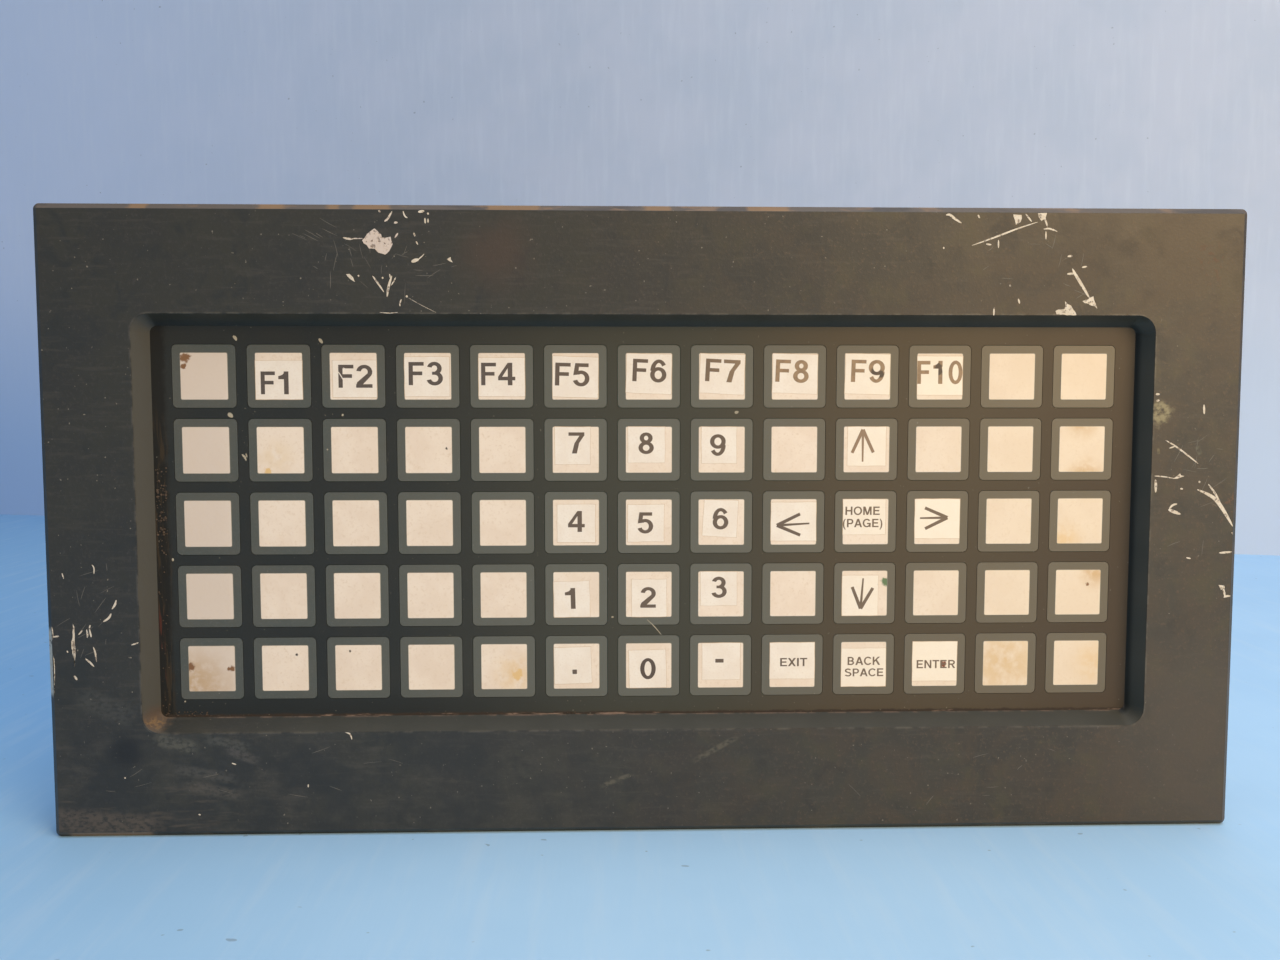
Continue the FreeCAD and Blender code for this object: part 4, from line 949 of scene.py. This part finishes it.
FLAKES = [
    [(-72.2, 72), (-71, 73.5), (-69, 75), (-68, 74), (-67.3, 72.7), (-65, 73), (-64.6, 71),
     (-65.5, 69.3), (-66.7, 68.3), (-68.2, 69), (-69, 70), (-70.7, 70)],
    [(-51.2, 67.4), (-50.3, 68), (-49.7, 66.6)],
    [(-76.5, 63.5), (-75.4, 63.7), (-74.5, 62.9), (-74.3, 61.7), (-75.3, 62.3)],
    [(92.8, 79.1), (94.9, 79.1), (94.6, 77.1), (93.5, 76.6), (93, 77.7)],
    [(111.2, 57.4), (112.7, 58), (114, 58.5), (114.2, 57.1), (115.1, 55.5), (113.4, 56.3),
     (111.7, 56.7)],
    [(104.4, 53.8), (104.2, 54.9), (106.6, 55.2), (106.7, 57.2), (108.1, 56.1), (109.8, 53.8)],
    [(149.2, -16.4), (150.2, -16.3), (151.0, -16.7), (150.9, -17.4), (150.1, -17.7), (149.6, -17.0)],
    [(136.2, 11.4), (137.3, 12.2), (137.9, 12.9), (138.3, 12.3), (139.3, 12.2), (138.3, 11.85),
     (137.4, 11.5)],
    [(152.0, -2.6), (152.6, -2.4), (152.6, -3.2)],
    [(-147.1, -25.0), (-146.9, -27.5), (-146.7, -30.5), (-146.9, -33.6), (-147.1, -36), (-147.3, -33.4),
     (-147.9, -31.2), (-147.4, -28)],
    [(-152.5, -25.6), (-152.2, -27), (-152.5, -29.1)],
    [(-152.5, -32.5), (-152.1, -35), (-152.3, -39), (-152.5, -43.2)],
    [(99.0, 79.4), (101.2, 79.4), (101.0, 78.0), (99.8, 77.6)],
]
SCRATCHES_AND_HIGHLIGHT = [
    # width, points
    (0.5, [(-77.0, 72.6), (-75.6, 72.4), (-74.6, 72.4)]),
    (0.25, [(-75.0, 72.4), (-73.8, 72.4), (-72.0, 72.5)]),
    (0.4, [(-68, 79.4), (-67.6, 78.9)]),
    (0.5, [(-66.7, 76.7), (-65.9, 77.3), (-64.6, 79.2)]),
    (0.5, [(-64.2, 76.3), (-63.3, 76.5)]),
    (0.35, [(-62, 79.3), (-61.5, 78), (-60.9, 77.5)]),
    (0.6, [(-58.1, 79), (-56.7, 79.3)]),
    (0.5, [(-55.9, 78.6), (-55.5, 78.8)]),
    (0.4, [(-56.5, 77.7), (-56.5, 76.2)]),
    (0.35, [(-55.7, 77.4), (-55.7, 76.4)]),
    (0.4, [(-63.3, 73.9), (-64.1, 72.6)]),
    (0.4, [(-59.4, 73.9), (-59.0, 73.0)]),
    (0.3, [(-58.7, 71.8), (-58.4, 70.9)]),
    (0.8, [(-60.0, 66.7), (-59.1, 67.0), (-58.2, 67.4)]),
    (0.25, [(-58.8, 67.1), (-57.6, 67.8), (-56.8, 68.7)]),
    (0.5, [(-73.4, 63), (-73, 63.2)]),
    (0.45, [(-67.4, 62.6), (-67, 62.8)]),
    (0.4, [(-69.8, 63.2), (-68.6, 61.6), (-67.0, 59.2)]),
    (0.55, [(-64.9, 63.2), (-65.9, 60.4), (-66.3, 57.9)]),
    (0.3, [(-64.0, 62.9), (-65.2, 60.7)]),
    (0.3, [(-65.6, 63.7), (-65.3, 62.6)]),
    (0.5, [(-61.5, 58), (-61.1, 58.1)]),
    (0.35, [(-62.6, 57.3), (-63.0, 56.4), (-63.1, 55.6)]),
    (0.1, [(-61.2, 57.9), (-57.8, 55.9), (-53.9, 54.1)]),
    # painted highlight along the mouth's top edge, drawn as a thin strip of bare moulding
    (0.2, [(-68.2, 54.0), (-66.0, 53.9), (-63.6, 54.0)]),
    (0.6, [(75.4, 78.9), (76.4, 79.2), (77.7, 78.1), (79.4, 76.9)]),
    (0.4, [(83.6, 79.1), (84.1, 78.2)]),
    (0.4, [(95.8, 79.2), (97.4, 77.4)]),
    (0.4, [(100.6, 79.1), (101.6, 75.9)]),
    (0.4, [(82.2, 71.3), (86.5, 72.8), (90.7, 74.5), (94, 75.6), (99.1, 77.3)]),
    (0.4, [(100.5, 75.5), (102.1, 75.8), (104.1, 75)]),
    (0.35, [(101.1, 74.9), (101.2, 72.8)]),
    (0.4, [(85.8, 71.7), (87.2, 71.5)]),
    (0.35, [(88.9, 72.7), (89.1, 70.6)]),
    (0.5, [(74.7, 70.6), (75.1, 70.7)]),
    (0.5, [(92, 61), (92.4, 61.2)]),
    (0.4, [(94.4, 57.9), (94.8, 56.7)]),
    (0.4, [(88.3, 55.6), (88.3, 53.6)]),
    (0.5, [(106.9, 68.6), (108.3, 68.7)]),
    (0.4, [(110.7, 65.9), (112, 66.1)]),
    (0.5, [(106.9, 64.2), (108.9, 64.3)]),
    (0.7, [(108.2, 65.5), (109, 64.1), (111.3, 60.6), (113, 58)]),
    (0.5, [(143.8, 30.9), (143.9, 28.4)]),
    (0.5, [(131.0, 33.4), (132.0, 33.5)]),
    (0.5, [(131.0, 31.8), (131.9, 31.9)]),
    (0.4, [(133.8, 21.7), (136.5, 20.1), (140.5, 17.2), (142.8, 15.5)]),
    (0.3, [(135, 19.5), (136.5, 20.1)]),
    (0.3, [(131.2, 12.3), (133.2, 12.2), (136.6, 11.7)]),
    (0.65, [(131.6, 11.4), (131.8, 9.8), (131.8, 8.1)]),
    (0.5, [(137.6, 5.1), (136.4, 4.7), (135.5, 3.6)]),
    (0.8, [(135.2, 3.6), (136.6, 2.9), (138.6, 2.2)]),
    (0.5, [(143, 10.7), (143.4, 10.8)]),
    (0.4, [(138.2, 8.9), (138.9, 8.9)]),
    (0.9, [(142.6, 8.7), (145.4, 7.7), (147.6, 6.3), (149.4, 4.2), (151.0, 1.6), (152.5, -1.0)]),
    (0.5, [(145.6, 10.2), (147.4, 7.9), (149.0, 5.0)]),
    (0.5, [(149.0, -8), (152.5, -7.6)]),
    (0.35, [(140.5, -9.2), (141.6, -9.4)]),
    (0.5, [(150.5, -17.0), (150.8, -18.2), (151.1, -19.6)]),
    (0.5, [(150.7, -19.6), (151.6, -19.4), (152.5, -19.4)]),
    (0.3, [(-141.8, -9.7), (-141.3, -10.5), (-141.5, -12.1)]),
    (0.25, [(-149.5, -11.8), (-149, -13.4)]),
    (0.5, [(-136.1, -18.9), (-136.3, -20.0), (-137.2, -21.2)]),
    (0.5, [(-137.5, -22.4), (-138.0, -23.5), (-139.6, -24.5)]),
    (0.35, [(-142.9, -25.2), (-143.1, -26.1)]),
    (0.4, [(-143.9, -26.4), (-143.6, -27.8), (-143.7, -28.6)]),
    (0.4, [(-143.1, -26.4), (-142.8, -27.8), (-142.6, -28.5)]),
    (0.35, [(-144.8, -26.6), (-145.9, -27.8)]),
    (0.55, [(-149.0, -32.2), (-148.7, -32.0)]),
    (0.4, [(-142.2, -31.0), (-141.7, -32.4), (-141.6, -34.9)]),
    (0.45, [(-144.3, -33.9), (-143.2, -35.0), (-142.2, -36.0)]),
    (0.5, [(-147.4, -38.4), (-146.7, -39.6)]),
    (0.4, [(-152.4, -28.3), (-150.8, -28.1)]),
    (0.35, [(-132.6, -30.5), (-130.9, -30.0)]),
    (0.35, [(-78.8, -53.7), (-77.6, -54.0), (-77.2, -54.8), (-77.0, -55.7)]),
    (0.4, [(-135.6, -65.2), (-135.2, -65.3)]),
    (0.35, [(-116.8, -75.1), (-116.4, -75.2)]),
    (0.3, [(-107.9, -61.6), (-106.9, -62.0)]),
    (0.3, [(-88.6, -67.4), (-88.6, -68.1)]),
]
HAIRLINES = [
    # count, middle, spread each way, direction in degrees, spread of it
    (9, (-84.0, 74.5), (4.0, 2.0), -28.0, 8.0),
    (14, (-76.0, 66.0), (9.0, 5.0), -70.0, 40.0),
    (10, (-58.0, 64.0), (9.0, 6.0), 30.0, 60.0),
    (14, (-144.0, -22.0), (6.0, 12.0), 60.0, 50.0),
    (12, (98.0, 66.0), (14.0, 7.0), 20.0, 60.0),
    (16, (142.0, 6.0), (7.0, 16.0), 30.0, 60.0),
    (10, (-100.0, -66.0), (40.0, 8.0), 5.0, 30.0),
    (7, (60.0, -66.0), (50.0, 8.0), 10.0, 60.0),
]


def add_chips(mesh, draw):
    """Flat islands of bare moulding, and a painted highlight on the mouth edge, each a hair in front of
    its neighbours.
    """
    shapes = [ragged(outline, 0.9, 0.16, draw) for outline in FLAKES]
    for width, points in SCRATCHES_AND_HIGHLIGHT:
        wavy = [(x + draw.uniform(-0.1, 0.1), z + draw.uniform(-0.1, 0.1)) for x, z in points]
        shapes.append(tapered(wavy, width))
    for index, shape in enumerate(shapes):
        held = [(max(-EDGE_X, min(EDGE_X, x)), max(-EDGE_Z, min(EDGE_Z, z))) for x, z in shape]
        add_plate(mesh, held, FACE - CHIP_RISE - STAGGER * (index % 4), FACE + MARK_DEPTH)


def add_scuffs(mesh, draw):
    """Hairline scratches that don't reach the moulding."""
    shapes = []
    for count, middle, spread, direction, turn in HAIRLINES:
        for _ in range(count):
            place = [at + reach * draw.uniform(-1, 1) for at, reach in zip(middle, spread)]
            half = draw.uniform(0.7, 2.6)
            line = tapered([(-half, 0.0), (0.0, draw.uniform(-0.15, 0.15)), (half, 0.0)],
                           draw.uniform(0.08, 0.16))
            shapes.append(turned(line, direction + turn * draw.uniform(-1, 1), place))
    for index, shape in enumerate(shapes):
        add_plate(mesh, shape, FACE - SCUFF_RISE - SCUFF_STAGGER * (index % 5), FACE + MARK_DEPTH)


for name, add_shapes, seed, look in (("bezel_chips", add_chips, 11, "chipped_paint_and_highlight"),
                                     ("bezel_scuffs", add_scuffs, 23, "scuffed_paint")):
    worn = bmesh.new()
    add_shapes(worn, random.Random(seed))
    piece(name, worn, (look,), "housing")


# ------------------------------------------------------------------ grit in the recess


def make_grit(draw):
    """Crumbs of dirt along the left and lower foot of the recess."""
    grit = bmesh.new()
    drifts = (
        # crumbs, largest mm, lowest (x, z), highest (x, z)
        (110, 0.42, (-127.4, -8.0), (-124.6, 14.5)),
        (40, 0.28, (-127.4, -50.6), (-125.4, -8.0)),
        (50, 0.34, (-127.3, -50.6), (-114.0, -49.4)),
        (60, 0.22, (-114.0, -50.7), (80.0, -50.3)),
    )
    for count, largest, low, high in drifts:
        for _ in range(count):
            size = draw.uniform(0.3, 1.0) ** 1.6 * largest
            x, z = draw.uniform(low[0], high[0]), draw.uniform(low[1], high[1])
            place = Matrix.Translation(Vector((x, FILM - 0.25 * size, z)) * MM)
            squashed = [draw.uniform(*limits) for limits in ((0.6, 1.2), (0.5, 0.8), (0.6, 1.2))]
            shape = Matrix.Diagonal((*squashed, 1.0))
            spin = Matrix.Rotation(draw.uniform(0, 2 * math.pi), 4, "Y")
            bmesh.ops.create_icosphere(grit, subdivisions=1, radius=size * MM,
                                       matrix=place @ spin @ shape)
    piece("recess_grit", grit, ("recess_grit",), "housing")


make_grit(random.Random(5))

FILM_MARKS = [
    # width, points
    (0.7, [(-84.8, 47.8), (-84.4, 47.2), (-83.9, 46.6)]),
    (1.0, [(-108.5, 28.4), (-107.9, 28.2), (-107.3, 27.6)]),
    (0.6, [(-79.4, 28.2), (-78.9, 28.0)]),
    (0.7, [(-106.7, 48.4), (-106.2, 48.0), (-105.8, 47.2)]),
    (0.4, [(-83.4, 19.2), (-83.0, 19.2)]),
    (0.5, [(-105.2, 18.0), (-104.5, 17.3), (-104.1, 16.4)]),
    (0.3, [(-104.2, 18.2), (-103.8, 17.2)]),
    (0.7, [(22.4, 28.9), (22.8, 28.7), (23.4, 29.0)]),
    (0.22, [(-0.5, -25.7), (1.6, -27.6), (3.4, -29.9)]),
    (0.4, [(-9.9, -25.1), (-9.3, -25.1)]),
    (0.5, [(-123.7, -9.0), (-123.5, -9.7)]),
    (0.4, [(-121.7, -46.7), (-121.3, -46.8)]),
]


def make_lint(draw):
    """Flecks of fluff on the film between the keys."""
    lint = bmesh.new()
    for index, (width, points) in enumerate(FILM_MARKS):
        wavy = [(x + draw.uniform(-0.06, 0.06), z + draw.uniform(-0.06, 0.06)) for x, z in points]
        add_plate(lint, tapered(wavy, width), FILM - CHIP_RISE - STAGGER * (index % 3), FILM + FILM_DEPTH)
    piece("film_lint", lint, ("film_lint",), "housing")


make_lint(random.Random(31))


# ------------------------------------------------------------------ threaded studs

THREAD_PITCH = 0.7
THREAD_MAJOR, THREAD_ROOT = 2.0, 1.62   # radii
TIP_RADIUS, TIP_SLOPE = 1.35, 0.8       # lead-in at the free end
COLLAR = 2.5                            # radius of the plain part inside the bezel
THREAD_START = 0.02                     # just behind the bezel's back
THREAD_SIDES = 20
THREAD_ROWS_PER_TURN = 6


def thread_radius(y, turn, tip):
    """Radius of the thread at a height and a share of a turn, with a lead-in at the tip."""
    phase = (y / THREAD_PITCH - turn) % 1.0
    crest = min(1.0, max(0.0, 1.35 * (1 - abs(2 * phase - 1)) - 0.15))
    radius = THREAD_ROOT + (THREAD_MAJOR - THREAD_ROOT) * crest
    return min(radius, TIP_RADIUS + TIP_SLOPE * (tip - y))


def make_studs():
    """Six studs with a real thread, in the place of the plain ones."""
    low, high = millimetres("mounting_studs")
    studs = bmesh.new()
    length = high.y - THREAD_START
    count = int(length / (THREAD_PITCH / THREAD_ROWS_PER_TURN))
    shares = [side / THREAD_SIDES for side in range(THREAD_SIDES)]
    profile = [(y, [COLLAR] * THREAD_SIDES) for y in (low.y, 0.0)]
    for index in range(count + 1):
        y = THREAD_START + index * length / count
        profile.append((y, [thread_radius(y, share, high.y) for share in shares]))
    reach_x, reach_z = high.x - COLLAR, high.z - COLLAR
    for place in [(x, z) for x in (-reach_x, 0.0, reach_x) for z in (-reach_z, reach_z)]:
        rings = []
        for y, radii in profile:
            outline = [(radius * math.cos(2 * math.pi * share), radius * math.sin(2 * math.pi * share))
                       for radius, share in zip(radii, shares)]
            rings.append(add_ring(studs, moved(outline, place), y))
        for near, far in zip(rings, rings[1:]):
            bridge(studs, near, far)
        studs.faces.new(rings[0][::-1])
        studs.faces.new(rings[-1])
    made = piece("threaded_studs", studs, ("stud_steel",), "housing")
    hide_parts("mounting_studs")


make_studs()


# ------------------------------------------------------------------ face of the data connector

CONTACT_PITCH = 2.76
CONTACT_ROW = 2.84
CONTACTS = ((5, CONTACT_ROW / 2), (4, -CONTACT_ROW / 2))    # how many, and the height of their row
CONTACT_OUTER, CONTACT_INNER = 0.78, 0.48                   # radii
INSERT_TOP, INSERT_FOOT, INSERT_HEIGHT = 14.6, 12.5, 6.1    # moulded insert in the D-shaped mouth
INSERT_CORNER = 1.4
TUBE_SIDES = 14


def soft_corners(outline, reach):
    """The outline with a short curve at each corner."""
    corners = [Vector(point) for point in outline]
    points = []
    for before, corner, after in zip(corners[-1:] + corners[:-1], corners, corners[1:] + corners[:1]):
        start = corner + (before - corner).normalized() * reach
        end = corner + (after - corner).normalized() * reach
        for part in range(CORNER_STEPS + 1):
            share = part / CORNER_STEPS
            first, second = start.lerp(corner, share), corner.lerp(end, share)
            points.append(tuple(first.lerp(second, share)))
    return points


def add_tube(mesh, centre, outer, inner, front, back):
    """A short tube along Y, in mm."""
    angles = [2 * math.pi * side / TUBE_SIDES for side in range(TUBE_SIDES)]
    rings = []
    for radius, y in ((outer, front), (outer, back), (inner, back), (inner, front)):
        circle = [(radius * math.cos(angle), radius * math.sin(angle)) for angle in angles]
        rings.append(add_ring(mesh, moved(circle, centre), y))
    for near, far in zip(rings, rings[1:] + rings[:1]):
        bridge(mesh, near, far)


def make_connector_face():
    """The moulded insert in the connector's mouth, with its nine contacts."""
    low, high = millimetres("data_connector")
    centre = ((low.x + high.x) / 2, (low.z + high.z) / 2)
    top, foot, half = INSERT_TOP / 2, INSERT_FOOT / 2, INSERT_HEIGHT / 2
    outline = [(-top, half), (top, half), (foot, -half), (-foot, -half)]
    insert = bmesh.new()
    add_plate(insert, moved(soft_corners(outline, INSERT_CORNER), centre), high.y - 0.2, high.y + 0.05)
    piece("connector_insert", insert, ("header_plastic",), "housing")
    sockets = bmesh.new()
    for count, z in CONTACTS:
        for number in range(count):
            x = (number - (count - 1) / 2) * CONTACT_PITCH
            add_tube(sockets, (centre[0] + x, centre[1] + z), CONTACT_OUTER, CONTACT_INNER,
                     high.y - 0.1, high.y + 0.12)
    piece("connector_sockets", sockets, ("contact_gold",), "housing")


make_connector_face()


# ------------------------------------------------------------------ stage, light and camera

FLOOR = cad_box[0][2]
FLOOR_REACH = 3.0
WALL_LEFT, WALL_RIGHT, WALL_HEIGHT = (-1.20, 1.005), (0.80, 0.403), 0.9


def stage_plane(name, corners, finish):
    """A flat backdrop through its corners, which isn't part of the object."""
    data = bpy.data.meshes.new(name)
    data.from_pydata(corners, [], [tuple(range(len(corners)))])
    data.materials.append(finish.done())
    made = bpy.data.objects.new(name, data)
    bpy.context.scene.collection.objects.link(made)


def brushed_board(name, tone, second, left_tone, reach):
    """Painted board with faint brush marks, turning to another tone towards the left."""
    finish = Finish(name, tone, 0.6)
    finish.layer(finish.patches(60.0, 0.35, 0.65, detail=3.0), second)
    finish.layer(finish.ramp("x", 0.0, -reach), left_tone)
    strokes = finish.noise(5.0, detail=3.0, stretch=(1.0, 10.0, 10.0))
    finish.layer((finish.step(strokes, 0.45, 0.75), 0.10), (222, 232, 240))
    finish.layer((finish.patches(2.5, 0.86, 0.90, detail=0.0), 0.5), (110, 124, 140))
    finish.layer(strokes, rise=0.08)
    return finish


# the floor turns to a darker tone towards the left: painted shade
floor = brushed_board("floor_board", (166, 208, 244), (170, 211, 246), (132, 180, 222), 260.0)
wall = brushed_board("wall_board", (181, 193, 211), (187, 197, 214), (203, 221, 249), 900.0)
# painted shadow low on the wall to the left, painted light low on the wall to the right
low_on_wall = wall.ramp("z", 200.0, -40.0)
wall.layer((low_on_wall, wall.ramp("x", -150.0, -600.0), 0.9), (156, 188, 228))
wall.layer((low_on_wall, wall.ramp("x", 150.0, 450.0), 0.9), (193, 210, 230))
stage_plane("floor", [(x * FLOOR_REACH, y * FLOOR_REACH, FLOOR)
                      for x, y in ((-1, -1), (1, -1), (1, 1), (-1, 1))], floor)
stage_plane("wall", [(*WALL_LEFT, FLOOR), (*WALL_RIGHT, FLOOR), (*WALL_RIGHT, FLOOR + WALL_HEIGHT),
                     (*WALL_LEFT, FLOOR + WALL_HEIGHT)], wall)

PALE_BLUE = (0.74, 0.86, 1.0)
LIGHTS = {
    # name: place, aim, size, watts, colour
    "warm_window": ((0.75, -1.0, 0.50), (0.08, 0.0, 0.02), 0.7, 18.6, (1.0, 0.69, 0.37)),
    "ceiling": ((0.3, -0.5, 1.7), (0.0, 0.1, 0.0), 1.6, 20.0, PALE_BLUE),
    "back_fill": ((0.5, 0.45, 1.1), (0.0, 0.05, 0.0), 0.9, 2.0, (0.95, 0.98, 1.0)),
}
for name, (place, aim, size, watts, colour) in LIGHTS.items():
    light = bpy.data.lights.new(name, "AREA")
    light.size = size
    light.energy = watts
    light.color = colour
    lamp = bpy.data.objects.new(name, light)
    lamp.location = place
    lamp.rotation_euler = (Vector(aim) - Vector(place)).to_track_quat("-Z", "Y").to_euler()
    bpy.context.scene.collection.objects.link(lamp)

world = bpy.data.worlds.new("pale_room")
world.use_nodes = True
background = world.node_tree.nodes["Background"]
background.inputs["Color"].default_value = (*PALE_BLUE, 1.0)
background.inputs["Strength"].default_value = 0.30
bpy.context.scene.world = world
bpy.context.scene.view_settings.view_transform = "Standard"

CAMERA_PLACE = (-0.0110, -0.3025, 0.0324)
CAMERA_LENS = 32.0
LOOKING_DOWN, LOOKING_RIGHT = 4.10, 1.68        # degrees
camera_data = bpy.data.cameras.new("photo_camera")
camera_data.lens = CAMERA_LENS
camera = bpy.data.objects.new("photo_camera", camera_data)
camera.location = CAMERA_PLACE
camera.rotation_euler = (math.radians(90 - LOOKING_DOWN), 0.0, math.radians(-LOOKING_RIGHT))
bpy.context.scene.collection.objects.link(camera)
bpy.context.scene.camera = camera
